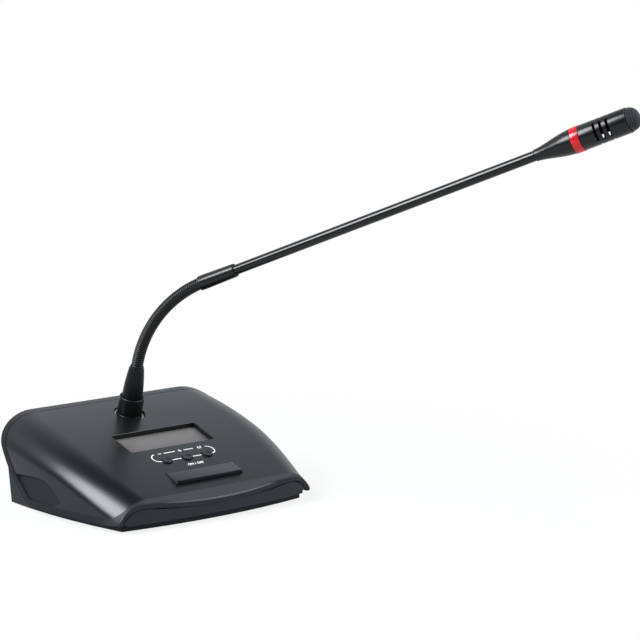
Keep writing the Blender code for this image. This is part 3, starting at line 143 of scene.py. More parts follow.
# Display, controls and microphone, as in the part's own source
LCD_Y = -0.0008
LCD_SIZE = (0.0762, 0.0276)
LCD_DEPTH = 0.0042
PANEL_Y = -0.041
BUTTON_ROW = 0.0106
BUTTON_PITCH = 0.0183
BUTTON_RADIUS = 0.0038
BUTTON_HOLE = 0.0042
KEY_ROW = -0.0123
KEY_SIZE = (0.0596, 0.0145)
KEY_GAP = 0.0006
MIC_Y = 0.043
MIC_LEAN = math.radians(16.3)
MIC_HOLE = 0.0121
PIN_CIRCLE = 0.0048
BOOT_FOOT = 0.0085
BOOT_TOP = 0.0395
NECK_TURN = math.radians(34.4)
NECK_BEND = math.radians(53.9)
HINGES = 6
HINGE_FIRST = 0.0084
HINGE_PITCH = 0.0158
HINGE_LAST = 0.0031
NECK_SOCKET = 0.006
NECK_BORE = 0.0024
TUBE_RADIUS = 0.0038
HEAD_RADIUS = 0.0091
HEAD_START = 0.2775
CONE_LENGTH = 0.0297
RING_START = HEAD_START + CONE_LENGTH
BODY_START = RING_START + 0.0067
BODY_END = BODY_START + 0.0355
DOME_START = BODY_END + 0.0003
MIRROR = np.array([-1, 1, 1])


def srgb(code):
    """Linear colour of an sRGB hex code: a channel c is c / 12.92 when small, else ((c + 0.055) / 1.055) to
    the power 2.4."""
    c = np.array([int(code[k:k + 2], 16) for k in (1, 3, 5)]) / 255
    return tuple(float(v) for v in np.where(c <= 0.04045, c / 12.92, ((c + 0.055) / 1.055) ** 2.4))


def length(name, description, default):
    """A size in metres that a user may change."""
    return bpy.props.FloatProperty(name=name, description=description, default=default, min=0.0,
                                   unit="LENGTH", subtype="DISTANCE", precision=5)


def colour(name, description, code):
    """A colour that a user may change, from its hex code."""
    return bpy.props.FloatVectorProperty(name=name, description=description, default=srgb(code), size=3,
                                         min=0.0, max=1.0, subtype="COLOR")


class CoverSettings(bpy.types.PropertyGroup):
    """Sizes of the top cover's border strip and side recesses."""
    side_strip: length("Side strip", "Height of the border strip along the lower sides", 0.0046)
    rear_strip: length("Rear strip", "Width of the border strip along the slanted rear edge", 0.0054)
    top_strip: length("Top strip", "Width of the border strip along the top's rear edge", 0.0064)
    panel_step: length("Panel step", "Depth of the panel under the strip on the sides", 0.0005)
    strip_rise: length("Strip rise", "Height of the strip over the panel on the crown", 0.00018)
    groove: length("Groove", "Depth of the groove beside the slanted strip", 0.0006)
    edge_round: length("Edge rounding", "Radius of the cover's outer edges", 0.0005)
    leaf_depth: length("Side recess", "Depth of the leaf-shaped recess at its rear", 0.0024)
    lip_gap: length("Lip gap", "Shadow gap between the lip and the front panel", 0.0015)
    opening_chamfer: length("Opening chamfer", "Chamfer round the cover's openings", 0.0003)


class MarkSettings(bpy.types.PropertyGroup):
    """Printed marks on the control panel."""
    line_width: length("Line width", "Width of the line round the buttons", 0.00085)
    ink: length("Ink thickness", "How far the print stands over the surface", 0.00006)
    letter_height: length("Letter height", "Height of the words over the key", 0.0023)


class MicrophoneSettings(bpy.types.PropertyGroup):
    """Sizes of the gooseneck and the head."""
    rib_pitch: length("Rib pitch", "Distance between the neck's ribs", 0.0018)
    rib_crest: length("Rib crest", "Radius of the neck over its ribs", 0.0046)
    rib_valley: length("Rib valley", "Radius of the neck between its ribs", 0.0039)
    slot_width: length("Slot width", "Width of the slots in the head", 0.0021)
    weave: length("Weave pitch", "Wire spacing of the windscreen mesh, drawn coarse enough to show", 0.0016)


class FinishSettings(bpy.types.PropertyGroup):
    """Colours of the unit."""
    cover: colour("Cover", "Charcoal of the top cover", "#0d0f11")
    strip: colour("Strip", "Charcoal of the border strip and the side recesses", "#15181b")
    # The lip's colour is a paler tone standing for the lip's brighter lighting: painted light
    lip: colour("Lip", "Charcoal of the front lip", "#25292d")
    case: colour("Case", "Charcoal of the lower case", "#1d2124")
    fascia: colour("Fascia", "Charcoal of the front panel", "#23272b")
    key: colour("Keys", "Charcoal of the key and the buttons", "#22262a")
    boot: colour("Boot", "Black of the boot", "#070708")
    # The neck's colour is the painted sheen on the hose's crests
    neck: colour("Neck", "Black of the gooseneck", "#15181b")
    tube: colour("Tube", "Black enamel of the tube", "#08090b")
    head: colour("Head", "Black of the microphone head", "#08090b")
    ring: colour("Light ring", "Red of the light ring", "#c6191f")
    # The display's two tones are painted light: paler at the far edge, darker at the near edge
    display_top: colour("Display, far edge", "Display's tone at its far edge", "#706c69")
    display_low: colour("Display, near edge", "Display's tone at its near edge", "#4e474d")
    ink: colour("Print", "White of the printed marks", "#f2f2ef")


# Materials

def fill(node, sockets):
    """Fill a node's sockets. A socket is linked, a node is linked by its first output in use, and anything
    else is set as the value."""
    for name, value in sockets.items():
        if isinstance(value, bpy.types.Node):
            value = next(output for output in value.outputs if output.enabled)
        if isinstance(value, bpy.types.NodeSocket):
            node.id_data.links.new(value, node.inputs[name])
        else:
            node.inputs[name].default_value = value
    return node


def add_node(tree, kind, sockets=None, **settings):
    """Add one node, set its settings and fill its sockets."""
    node = tree.nodes.new("ShaderNode" + kind)
    for name, value in settings.items():
        setattr(node, name, value)
    return fill(node, sockets or {})


def start_material(name, roughness, level=0.5, metallic=0.0, coat=0.0):
    """A Principled material with its constants set straight on the shader; returns the material, its tree,
    its shader and the object coordinates."""
    made = bpy.data.materials.new(name)
    made.use_nodes = True
    tree = made.node_tree
    shader = fill(tree.nodes["Principled BSDF"], {"Roughness": roughness, "Specular IOR Level": level,
                                                  "Metallic": metallic, "Coat Weight": coat})
    return made, tree, shader, add_node(tree, "TexCoord").outputs["Object"]


def tinted(tree, shader, factor, low, high):
    """Base colour that runs from low to high with the factor."""
    mix = add_node(tree, "Mix", {0: factor, 6: (*low, 1), 7: (*high, 1)}, data_type="RGBA")
    fill(shader, {"Base Color": mix})


def grained(name, tone, roughness, grain, depth, level=0.5, spread=0.06, metallic=0.0):
    """A surface with a fine grain: noise of the grain's size tints it and lifts it by the depth, and a wide
    noise of 35 mm shifts the roughness a little, as handling does."""
    made, tree, shader, place = start_material(name, roughness, level, metallic)
    fine = add_node(tree, "TexNoise", {"Vector": place, "Scale": 1 / grain, "Detail": 3.0})
    low, high = ([min(1.0, channel * share) for channel in tone] for share in (1 - spread, 1 + spread))
    tinted(tree, shader, fine, low, high)
    wide = add_node(tree, "TexNoise", {"Vector": place, "Scale": 1 / 0.035, "Detail": 2.0})
    worn = add_node(tree, "MapRange", {"Value": wide, "To Min": roughness * 0.93, "To Max": roughness * 1.07})
    bump = add_node(tree, "Bump", {"Height": fine, "Distance": depth, "Strength": 1.0})
    fill(shader, {"Roughness": worn, "Normal": bump})
    return made


def display_material(finish):
    """Smoked acrylic bonded to an unlit liquid-crystal glass: a smooth grey that warms towards the near edge,
    under a hard clear face."""
    made, tree, shader, place = start_material("acrylic_display_window", 0.3, 0.35)
    half, cloud = 0.0135, 0.02
    split = add_node(tree, "SeparateXYZ", {"Vector": place})
    # Painted light: the tone runs from the darker near edge to the paler far edge, with soft clouds
    painted_light_ramp = add_node(tree, "MapRange", {"Value": split.outputs["Y"], "From Min": LCD_Y - half,
                                       "From Max": LCD_Y + half})
    soft = add_node(tree, "TexNoise", {"Vector": place, "Scale": 1 / cloud, "Detail": 1.0})
    both = add_node(tree, "Math", {0: soft, 1: 0.12, 2: painted_light_ramp}, operation="MULTIPLY_ADD")
    tinted(tree, shader, both, finish.display_low, finish.display_top)
    return made


def mesh_material(pitch):
    """Black-coated woven wire: two sets of wires cross over and under at the pitch, so crossings catch
    the light and the holes between them stay black."""
    made, tree, shader, _ = start_material("woven_steel_windscreen", 0.4, 0.15)
    across = add_node(tree, "UVMap", uv_map="weave")
    split = add_node(tree, "SeparateXYZ", {"Vector": across})
    waves = []
    for axis in ("X", "Y"):
        turn = add_node(tree, "Math", {0: split.outputs[axis], 1: 2 * math.pi / pitch}, operation="MULTIPLY")
        waves.append(add_node(tree, "Math", {0: turn}, operation="COSINE"))
    over = add_node(tree, "Math", {0: waves[0], 1: waves[1]}, operation="MAXIMUM")
    height = add_node(tree, "MapRange", {"Value": over, "From Min": 0.3, "From Max": 1.0})
    # Painted highlight: the crossings are painted pale grey on the black-coated wire
    tinted(tree, shader, height, srgb("#010101"), srgb("#585c62"))
    bump = add_node(tree, "Bump", {"Height": height, "Distance": pitch / 3, "Strength": 1.0})
    fill(shader, {"Normal": bump})
    return made


def strip_material(finish):
    """The cover's moulding where the mould is etched deeper: duller than the rest, and rubbed paler and
    smoother towards the front lip, where hands rest."""
    made = grained("spark_eroded_abs_matt", finish.strip, 0.8, 0.0009, 0.00002, 0.25)
    tree = made.node_tree
    shader = tree.nodes["Principled BSDF"]
    split = add_node(tree, "SeparateXYZ", {"Vector": add_node(tree, "TexCoord").outputs["Object"]})
    # Painted light: the strip turns paler towards the front lip for the lip's brighter lighting, and its
    # roughness also drops there
    lip_share = add_node(tree, "MapRange", {"Value": split.outputs["Y"], "From Min": CREASE_Y + 0.024,
                                         "From Max": CREASE_Y + 0.004}, interpolation_type="SMOOTHSTEP")
    base, dull = (shader.inputs[name].links[0].from_socket for name in ("Base Color", "Roughness"))
    painted_lip_light = add_node(tree, "Mix", {0: lip_share, 6: base, 7: (*finish.lip, 1)}, data_type="RGBA")
    smoother = add_node(tree, "Math", {0: lip_share, 1: -0.3, 2: dull}, operation="MULTIPLY_ADD")
    fill(shader, {"Base Color": painted_lip_light, "Roughness": smoother})
    return made


def hose_material(finish):
    """Black-oxide steel wire wound into a hose: each turn's crest carries a satin sheen, and the valley
    between two turns holds dirt and shadow. The share of the way up a turn comes with the mesh."""
    made, tree, shader, place = start_material("black_oxide_steel_hose", 0.42, 0.3)
    rise = add_node(tree, "Attribute", attribute_name="rise").outputs["Fac"]
    fine = add_node(tree, "TexNoise", {"Vector": place, "Scale": 1 / 0.003, "Detail": 2.0})
    worn = add_node(tree, "Math", {0: fine, 1: 0.3, 2: 0.8}, operation="MULTIPLY_ADD")
    lit = add_node(tree, "Math", {0: rise, 1: worn}, operation="MULTIPLY", use_clamp=True)
    # Painted sheen and painted shade: crests take the neck's colour and valleys go near black
    tinted(tree, shader, lit, srgb("#020203"), finish.neck)
    return made


def board_material():
    """Glass-epoxy circuit board under green solder mask: rows of copper tracks 0.5 mm wide show lighter."""
    made, tree, shader, place = start_material("solder_masked_board", 0.35)
    tracks = add_node(tree, "TexBrick", {"Vector": place, "Color1": (1, 1, 1, 1), "Color2": (0.6, 0.6, 0.6, 1),
                                         "Mortar": (0, 0, 0, 1), "Scale": 1 / 0.004, "Mortar Size": 0.12})
    tinted(tree, shader, tracks, srgb("#0f4a2c"), srgb("#1c6a3f"))
    bump = add_node(tree, "Bump", {"Height": tracks, "Distance": 0.00005, "Strength": 0.6})
    fill(shader, {"Normal": bump})
    return made


def cell_material():
    """Printed plastic sleeve of a battery cell: a blue body with a paler band at one end."""
    made, tree, shader, place = start_material("shrink_sleeve_cell", 0.3, coat=0.3)
    split = add_node(tree, "SeparateXYZ", {"Vector": place})
    band = add_node(tree, "Math", {0: split.outputs["X"], 1: 0.018}, operation="GREATER_THAN")
    tinted(tree, shader, band, srgb("#1f4f8f"), srgb("#b9bfc4"))
    return made


FINISHES = {}


def make_finishes():
    """Every finish of the unit, each from what the real one is. A row gives the material's name, colour,
    roughness, grain and relief in metres, specular level, and how far the grain shades the colour. A grain
    that is finer than about half a millimetre on the real thing is drawn coarser, so that it shows."""
    finish = bpy.context.scene.delegate_finish
    FINISHES.update({
        # Spark-eroded ABS moulding: a satin skin. Its 0.15 mm grain is drawn at 0.9 mm so that it shows
        "cover": grained("spark_eroded_abs_satin", finish.cover, 0.31, 0.0009, 0.00004, 0.4, 0.12),
        # The same moulding where the mould is etched deeper: duller and paler, and painted lighter still
        # towards the front lip as painted light
        "strip": strip_material(finish),
        # The cover's front edge, of the cover's own plastic: dull, and toned a little paler than the panel
        # under it as painted light on the edge face
        "edge": grained("abs_edge_painted_light", srgb("#2a2e33"), 0.6, 0.0009, 0.00002, 0.15),
        # Moulded ABS of the lower case: duller than the cover
        "case": grained("moulded_abs_case", finish.case, 0.55, 0.0009, 0.00002, 0.15),
        # Fine-etched ABS of the front panel: an even, dull charcoal
        "fascia": grained("etched_abs_fascia", finish.fascia, 0.5, 0.0009, 0.00002, 0.25),
        # Polished ABS of the key and the buttons: smooth faces with a soft gloss
        "key": grained("polished_abs_keys", finish.key, 0.38, 0.0012, 0.000008, 0.3),
        # Moulded soft PVC of the boot: black with a soft, wide gloss
        "boot": grained("soft_pvc_boot", finish.boot, 0.36, 0.0011, 0.00001, 0.22, 0.12),
        # Black-painted zinc casting of the plug's shell: satin black, with a thin light along its edges
        "collar": grained("black_painted_plug_shell", finish.boot, 0.38, 0.0008, 0.00001, 0.28),
        # Black-oxide steel wire wound into a hose: painted sheen on each turn's crest and painted shade in each
        # valley
        "neck": hose_material(finish),
        # Gloss black stove enamel on steel tube: bright narrow lines run along it
        "tube": grained("gloss_enamel_tube", finish.tube, 0.19, 0.0015, 0.000001, 0.34),
        # Satin black enamel on the turned aluminium of the head and the ferrule: wide soft lines
        "head": grained("satin_enamel_head", finish.head, 0.27, 0.0012, 0.000001, 0.34),
        # Tinted clear polycarbonate over small lamps: deep red with a wet gloss
        "ring": grained("tinted_polycarbonate_ring", finish.ring, 0.16, 0.004, 0.000001, 0.35, 0.04),
        # Black-coated woven wire of the windscreen: painted highlights on the crossings over black holes
        "mesh": mesh_material(bpy.context.scene.delegate_microphone.weave),
        # Nickel plate on turned brass: a warm sheen that faint turning marks blur
        "nickel": grained("bright_nickel_plate", srgb("#8f8e8b"), 0.3, 0.0005, 0.000003, metallic=1.0),
        # Zinc-plated steel: cool grey with a soft patchy sheen
        "zinc": grained("zinc_plated_steel", srgb("#a9adb1"), 0.36, 0.003, 0.000004, metallic=1.0),
        # Smoked acrylic of the display window: grey with painted light, paler at the far edge, under a hard
        # clear face
        "display": display_material(finish),
        # Etched glass of the display module, seen from its edges: a smooth warm grey
        "glass": grained("lcd_module_glass", srgb("#4b4a48"), 0.3, 0.004, 0.000002),
        # Circuit board under solder mask: green with paler tracks
        "board": board_material(),
        # Glass-filled nylon of switches, inserts and the battery box: dull and slightly mottled
        "nylon": grained("glass_filled_nylon", srgb("#1c1c1d"), 0.55, 0.0006, 0.00002, spread=0.2),
        # Shrunk plastic sleeve of a battery cell: glossy blue with a pale band
        "cell": cell_material(),
        # Moulded natural rubber of the feet and the capsule's holder: black and very dull
        "rubber": grained("moulded_rubber", srgb("#151515"), 0.85, 0.0005, 0.00003, 0.25, 0.2),
        # Spun aluminium can of the capsule: pale and softly brushed
        "can": grained("spun_aluminium_can", srgb("#b4b6b8"), 0.3, 0.0004, 0.000006, metallic=1.0),
        # Open-cell acoustic foam inside the head: black and quite without gloss
        "foam": grained("open_cell_foam", srgb("#0a0a0a"), 0.95, 0.0009, 0.0001, 0.1, 0.4),
        # White pad-printing ink: flat and opaque
        "ink": grained("pad_print_ink", finish.ink, 0.6, 0.0005, 0.000004, spread=0.02),
    })


# Shapes as whole arrays: each solid is a pair of points and faces

def grid_faces(rows, columns, wrap_rows=False, wrap_columns=False):
    """Quads of a grid: each joins a point to the next in its row and to both in the next row."""
    r = np.arange(rows if wrap_rows else rows - 1)[:, None]
    c = np.arange(columns if wrap_columns else columns - 1)[None, :]
    r_next, c_next = (r + 1) % rows, (c + 1) % columns
    corners = (r * columns + c, r * columns + c_next, r_next * columns + c_next, r_next * columns + c)
    return np.stack(np.broadcast_arrays(*corners), -1).reshape(-1, 4).tolist()


def merged(solids):
    """Several solids as one: each one's faces count on from the points before it."""
    points, faces, start = [], [], 0
    for solid_points, solid_faces in solids:
        points.append(solid_points)
        faces += [[index + start for index in face] for face in solid_faces]
        start += len(solid_points)
    return np.concatenate(points), faces


def moved(solid, matrix):
    """A solid carried into a frame: each point is the frame's turn times the point plus its place."""
    m = np.array(matrix)
    return solid[0] @ m[:3, :3].T + m[:3, 3], solid[1]


def lofted(rings):
    """Closed rings skinned in order, with a flat face on each end."""
    rings = np.asarray(rings, float)
    rows, columns = rings.shape[:2]
    faces = grid_faces(rows, columns, wrap_columns=True)
    faces += [list(range(columns)), list(range((rows - 1) * columns, rows * columns))]
    return rings.reshape(-1, 3), faces


def slab(front, back):
    """The solid between two grids of the same shape: both grids, joined round their rims."""
    rows, columns = front.shape[:2]
    near = grid_faces(rows, columns)
    far = [[index + rows * columns for index in face[::-1]] for face in near]
    rim = np.concatenate([np.arange(columns), np.arange(1, rows) * columns + columns - 1,
                          (rows - 1) * columns + np.arange(columns - 2, -1, -1),
                          np.arange(rows - 2, 0, -1) * columns])
    ahead = np.roll(rim, -1)
    walls = np.stack([rim, ahead, ahead + rows * columns, rim + rows * columns], -1).tolist()
    return np.concatenate([front.reshape(-1, 3), back.reshape(-1, 3)]), near + far + walls


def turned(outline, sides=96):
    """A closed outline of (radius, height) turned about Z: x = r cos a, y = r sin a."""
    outline = np.asarray(outline, float)
    a = 2 * np.pi * np.arange(sides) / sides
    r, h = outline[:, :1], outline[:, 1:]
    points = np.stack(np.broadcast_arrays(r * np.cos(a), r * np.sin(a), h), -1)
    return points.reshape(-1, 3), grid_faces(len(outline), sides, True, True)


def softened(outline, radius, steps=4):
    """A closed outline with its corners rounded: each becomes the quadratic curve that has the corner as its
    middle control point and starts and ends a radius away, or less on short sides. Points on the axis
    stay."""
    p = np.asarray(outline, float)
    back, ahead = np.roll(p, 1, 0) - p, np.roll(p, -1, 0) - p
    back_length, ahead_length = (np.linalg.norm(v, axis=1, keepdims=True) for v in (back, ahead))
    cut = np.minimum(radius, 0.45 * np.minimum(back_length, ahead_length))
    cut = np.where(np.abs(p[:, :1]) < 1e-9, 0, cut)
    a, b = p + back / back_length * cut, p + ahead / ahead_length * cut
    t = np.linspace(0, 1, steps + 1)[:, None, None]
    return ((1 - t) ** 2 * a + 2 * t * (1 - t) * p + t ** 2 * b).transpose(1, 0, 2).reshape(-1, 2)


def smooth_line(shares, count=24):
    """A smooth line through a few (share, value) pairs: a cubic between each two, with the slopes of the
    chords on both sides."""
    x, y = np.array(shares, float).T
    slope = np.gradient(y, x)
    t = np.linspace(x[0], x[-1], count)
    k = np.clip(np.searchsorted(x, t, side="right") - 1, 0, len(x) - 2)
    w = x[k + 1] - x[k]
    u = (t - x[k]) / w
    value = ((1 + 2 * u) * (1 - u) ** 2 * y[k] + u * (1 - u) ** 2 * w * slope[k]
             + u ** 2 * (3 - 2 * u) * y[k + 1] + u ** 2 * (u - 1) * w * slope[k + 1])
    return t, value


def new_object(name, solid, finishes, indices=None):
    """A mesh object from a solid: its doubles are merged, then its faces are turned outwards."""
    mesh = bpy.data.meshes.new(name)
    mesh.from_pydata(np.asarray(solid[0]).tolist(), [], solid[1])
    for key in finishes:
        mesh.materials.append(FINISHES[key])
    if indices is not None:
        mesh.polygons.foreach_set("material_index", np.asarray(indices, np.int32))
    build = bmesh.new()
    build.from_mesh(mesh)
    bmesh.ops.remove_doubles(build, verts=build.verts, dist=1e-7)
    bmesh.ops.recalc_face_normals(build, faces=build.faces)
    build.to_mesh(mesh)
    build.free()
    thing = bpy.data.objects.new(name, mesh)
    bpy.context.scene.collection.objects.link(thing)
    return thing


def settle(thing):
    """Apply an object's modifiers by keeping its evaluated mesh."""
    graph = bpy.context.evaluated_depsgraph_get()
    mesh = bpy.data.meshes.new_from_object(thing.evaluated_get(graph), preserve_all_data_layers=True,
                                           depsgraph=graph)
    old = thing.data
    thing.modifiers.clear()
    thing.data = mesh
    mesh.name = thing.name
    bpy.data.meshes.remove(old)


def carve(thing, solid, finishes, slot=0, operation="DIFFERENCE"):
    """Cut a solid out of an object, or join it on; the new faces take the finish of the slot."""
    tool = new_object("carving_tool", solid, finishes, [slot] * len(solid[1]))
    step = thing.modifiers.new("carve", "BOOLEAN")
    step.operation, step.solver, step.object = operation, "MANIFOLD", tool
    settle(thing)
    bpy.data.objects.remove(tool)


def finish_piece(thing, body, nodes=(), angle=32):
    """Smooth shading with real edges kept sharp; the piece rides on its body and stands for its nodes."""
    thing.data.shade_smooth()
    thing.data.set_sharp_from_angle(angle=math.radians(angle))
    if body:
        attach(thing, body)
    if nodes:
        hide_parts(*nodes)
    return thing


def add_piece(name, solid, finish, body, *nodes):
    """A finished piece from a solid: it has one finish, rides on its body and stands for its nodes."""
    return finish_piece(new_object(name, solid, [finish]), body, nodes)


def softened_copy(node, finish, width, body="base"):
    """A copy of a CAD node with merged points, flat faces joined and its sharp edges bevelled."""
    double, flat, sharp = 2e-6, math.radians(1.2), math.radians(38)
    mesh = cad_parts[node].data.copy()
    mesh.materials.clear()
    mesh.materials.append(FINISHES[finish])
    build = bmesh.new()
    build.from_mesh(mesh)
    bmesh.ops.remove_doubles(build, verts=build.verts, dist=double)
    bmesh.ops.dissolve_limit(build, angle_limit=flat, verts=build.verts, edges=build.edges)
    build.to_mesh(mesh)
    build.free()
    thing = bpy.data.objects.new(node + "_moulding", mesh)
    bpy.context.scene.collection.objects.link(thing)
    bevel = thing.modifiers.new("edges", "BEVEL")
    bevel.width, bevel.segments, bevel.limit_method = width, 2, "ANGLE"
    bevel.angle_limit, bevel.use_clamp_overlap = sharp, False
    settle(thing)
    return finish_piece(thing, body, [node])


def dress(finish, *nodes):
    """Give CAD nodes that keep their shape a finish."""
    for node in nodes:
        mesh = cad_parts[node].data
        mesh.materials.clear()
        mesh.materials.append(FINISHES[finish])


# Surfaces of the cover

def ease(value):
    """Smooth step: 3v^2 - 2v^3 on values held between 0 and 1."""
    v = np.clip(value, 0, 1)
    return v * v * (3 - 2 * v)


def top_slope(y):
    """The crown line is one arc, so the sine of its slope grows evenly towards the front."""
    return np.arcsin(np.sin(REAR_SLOPE) + (REAR_TOP_Y - y) / TOP_RADIUS)


def top_z(y):
    """Height of the crown line: the rear height less the arc's fall."""
    return REAR_TOP_Z - TOP_RADIUS * (np.cos(REAR_SLOPE) - np.cos(top_slope(y)))


def side_x(y):
    """Half width: full width less the bow of the side."""
    return COVER_HALF_WIDTH - (y - SIDE_WIDEST_Y) ** 2 / (2 * SIDE_BOW_RADIUS)


def along(pair, y):
    """A size that changes evenly from the crease to the rear edge."""
    return pair[0] + (pair[1] - pair[0]) * (y - CREASE_Y) / (REAR_TOP_Y - CREASE_Y)


def edge_z(y):
    """Lower edge of the side, which lifts at the front tip."""
    return COVER_EDGE_Z + TIP_RISE * np.clip(1 - (y - CREASE_Y) / TIP_RISE_LENGTH, 0, None) ** 2


def corner_power(y):
    """Power on the shoulder's cosine: one gives a quarter ellipse, and more towards the front makes the
    corner run down slantwise."""
    return 1 + CORNER_SLANT * ease(1 - (y - CREASE_Y) / CORNER_REACH)


def shoulder_drop(y):
    """Height of the shoulder: it changes evenly, and reaches further down at the front corners, as far as the
    side leaves room."""
    drop = along(SHOULDER_DROP, y) + CORNER_DROP * ease(1 - (y - CREASE_Y) / CORNER_REACH)
    return np.minimum(drop, top_z(y) - edge_z(y) - SIDE_LEAST)


def section(share, y, inset):
    """Cross-section at y: a flat crown, a quarter ellipse for the shoulder and an upright side. The ellipse's
    cosine is raised to the corner's power."""
    half, run, drop = side_x(y) - inset, along(SHOULDER_RUN, y) - inset, shoulder_drop(y) - inset
    top = top_z(y) - inset / np.cos(top_slope(y))
    turn = np.pi / 2 * np.clip((share - FLAT_SHARE) / (SHOULDER_SHARE - FLAT_SHARE), 0, 1)
    below = np.clip((share - SHOULDER_SHARE) / (1 - SHOULDER_SHARE), 0, 1)
    power = corner_power(y)
    x = (half - run) * np.minimum(share / FLAT_SHARE, 1) + run * np.sin(turn)
    z = top - drop * (1 - np.clip(np.cos(turn), 0, 1) ** power)
    return x, z + (edge_z(y) - top + drop) * below


def share_at(height, y):
    """Place round the section that lies at a height over the lower edge: on the side evenly, then on the
    shoulder where the ellipse reaches that height."""
    drop = shoulder_drop(y)
    side = top_z(y) - drop - edge_z(y)
    upper = np.arcsin(np.clip((height - side) / drop, 0, 1) ** (1 / corner_power(y))) * 2 / np.pi
    return np.where(height <= side, 1 - (1 - SHOULDER_SHARE) * height / side,
                    SHOULDER_SHARE - (SHOULDER_SHARE - FLAT_SHARE) * upper)


def crease_y(share):
    """The crease runs straight across and turns back at the sides."""
    return CREASE_Y + CORNER_SETBACK * ease((share - FLAT_SHARE) / (1 - FLAT_SHARE))


def lip_front(x):
    """The lip's front edge: in front of the crease by a parabola that is highest in the middle."""
    return CREASE_Y - FRONT_BOW * (1 - np.minimum(1, x / side_x(CREASE_Y)) ** 2)


def lip_sag(x, y):
    """How far the lip's front edge hangs under the section: most in the middle, none at the sides."""
    return LIP_DROP * (1 - (x / side_x(y)) ** 2.5)


def rear_edge_y(z):
    """Slanted rear edge: a cubic curve from the foot of the side to the top."""
    t = np.linspace(0, 1, 81)[:, None]
    a, b, c, d = REAR_EDGE_SHARES
    curve = (1 - t) ** 3 * a + 3 * t * (1 - t) ** 2 * b + 3 * t ** 2 * (1 - t) * c + t ** 3 * d
    run = np.interp((z - COVER_EDGE_Z) / (REAR_TOP_Z - COVER_EDGE_Z), curve[:, 1], curve[:, 0])
    return REAR_FOOT_Y + (REAR_TOP_Y - REAR_FOOT_Y) * run


def surface_frame(y):
    """Frame on the crown line: X across, Y up the slope, Z outwards."""
    return Matrix.Translation((0, y, float(top_z(y)))) @ Matrix.Rotation(float(top_slope(y)), 4, "X")


LCD_FRAME = surface_frame(LCD_Y)
PANEL_FRAME = surface_frame(PANEL_Y)
MIC_FRAME = Matrix.Translation((0, MIC_Y, float(top_z(MIC_Y)))) @ Matrix.Rotation(MIC_LEAN, 4, "X")
NECK_FRAME = MIC_FRAME @ Matrix.Translation((0, 0, BOOT_TOP)) @ Matrix.Rotation(NECK_TURN, 4, "Z")


def corner_distance(a, b, radius):
    """Distance inside two edges whose corner is rounded: radius less the length of both shortfalls."""
    return radius - np.hypot(np.clip(radius - a, 0, None), np.clip(radius - b, 0, None))


def cover_grid(settings):
    """Grid of the cover's right half. Columns keep their height over the lower edge as far as a little above
    the strip, and then share the section evenly up to the middle. Rows run from the lip's edge over the
    crease to the rear edge, and beside an edge they keep their distance from it, so the strip follows the
    mesh."""
    strip = settings.side_strip
    low = np.concatenate([RIM_STEPS, np.linspace(RIM_END, strip - 0.0004, 7), strip + STRIP_STEPS,
                          strip + np.linspace(0.001, 0.0095, 15)])
    fade = np.concatenate([np.ones(len(low)), np.linspace(1, 0, CROWN_COLUMNS + 1)[1:]])[None, :]
    height = np.pad(low, (0, CROWN_COLUMNS), "edge")[None, :]
    on_side = fade == 1

    def share_of(y):
        return share_at(height, y) * fade

    # Each column's ends, where crease and rear edge meet it, by putting the answer in again and again
    start, rear = np.full_like(fade, CREASE_Y), np.full_like(fade, REAR_TOP_Y)
    for _ in range(40):
        start = crease_y(share_of(start))
        rear = rear_edge_y(section(share_of(rear), rear, 0)[1])

    # A step in y over the distance from the slanted rear edge: one over the cosine of the edge's slant
    x, z = section(share_of(rear), rear, 0)
    step = np.hypot(np.hypot(np.gradient(x[0]), np.gradient(z[0])), 1e-9)
    lean = np.hypot(1, np.gradient(rear[0]) / step)[None, :]
    lean = np.where(on_side, np.minimum(lean, MOST_LEAN), lean)

    rear_strip = settings.top_strip + (settings.rear_strip - settings.top_strip) * ease(
        (share_of(rear) - FLAT_SHARE) / (SHOULDER_SHARE - FLAT_SHARE))
    first = start + CREASE_STEPS[:, None]
    last = rear - lean * (rear_strip + REAR_STRIP_STEPS[:, None])
    middle = first[-1:] + (last[:1] - first[-1:]) * np.linspace(0, 1, 78)[1:-1, None]
    edge = rear - lean * np.concatenate([np.linspace(0.0045, RIM_END, 5), RIM_STEPS[::-1]])[:, None]
    front = lip_front(section(share_of(start), start, 0)[0])
    lip = np.concatenate([RIM_STEPS / FRONT_BOW, np.linspace(0.12, 0.93, 12), [0.97]])[:, None]
    y = np.concatenate([front + (start - front) * lip, first, middle, last, edge])
    return SimpleNamespace(y=y, share=share_of(y), reach=np.pad(1 - lip, ((0, len(y) - len(lip)), (0, 0))),
                           above=np.where(on_side, height, FAR), behind=y - start, from_front=y - front,
                           from_rear=(rear - y) / lean, rear_strip=rear_strip)


def cover_relief(settings, grid):
    """How far the outer skin is set in: the panel's step on the sides, less the strip's rise on the crown,
    plus a V groove beside the slanted strip and a quarter round at every edge. Two shares go with it: where
    the panel is, and how far a point has turned to the side."""
    inside = corner_distance(grid.above - settings.side_strip, grid.behind, PANEL_FRONT_CORNER)
    inside = corner_distance(inside, grid.from_rear - grid.rear_strip, PANEL_REAR_CORNER)
    panel = ease(inside / PANEL_SLOPE)
    sideways = ease((grid.share - FLAT_SHARE) / (PANEL_FULL_SHARE - FLAT_SHARE))
    relief = settings.panel_step * sideways * panel - settings.strip_rise * (1 - sideways) * (1 - panel)
    beside = (grid.from_rear - grid.rear_strip - GROOVE_PLACE) / GROOVE_HALF
    slanted = ease((grid.share - REAR_CORNER_SHARE) / GROOVE_FADE)
    relief = relief + settings.groove * np.clip(1 - np.abs(beside), 0, 1) * slanted * panel
    for distance in (grid.above, grid.from_rear, grid.from_front):
        short = np.clip(1 - distance / settings.edge_round, 0, 1)
        relief = relief + settings.edge_round * (1 - np.sqrt(1 - short ** 2))
    return relief, panel, sideways


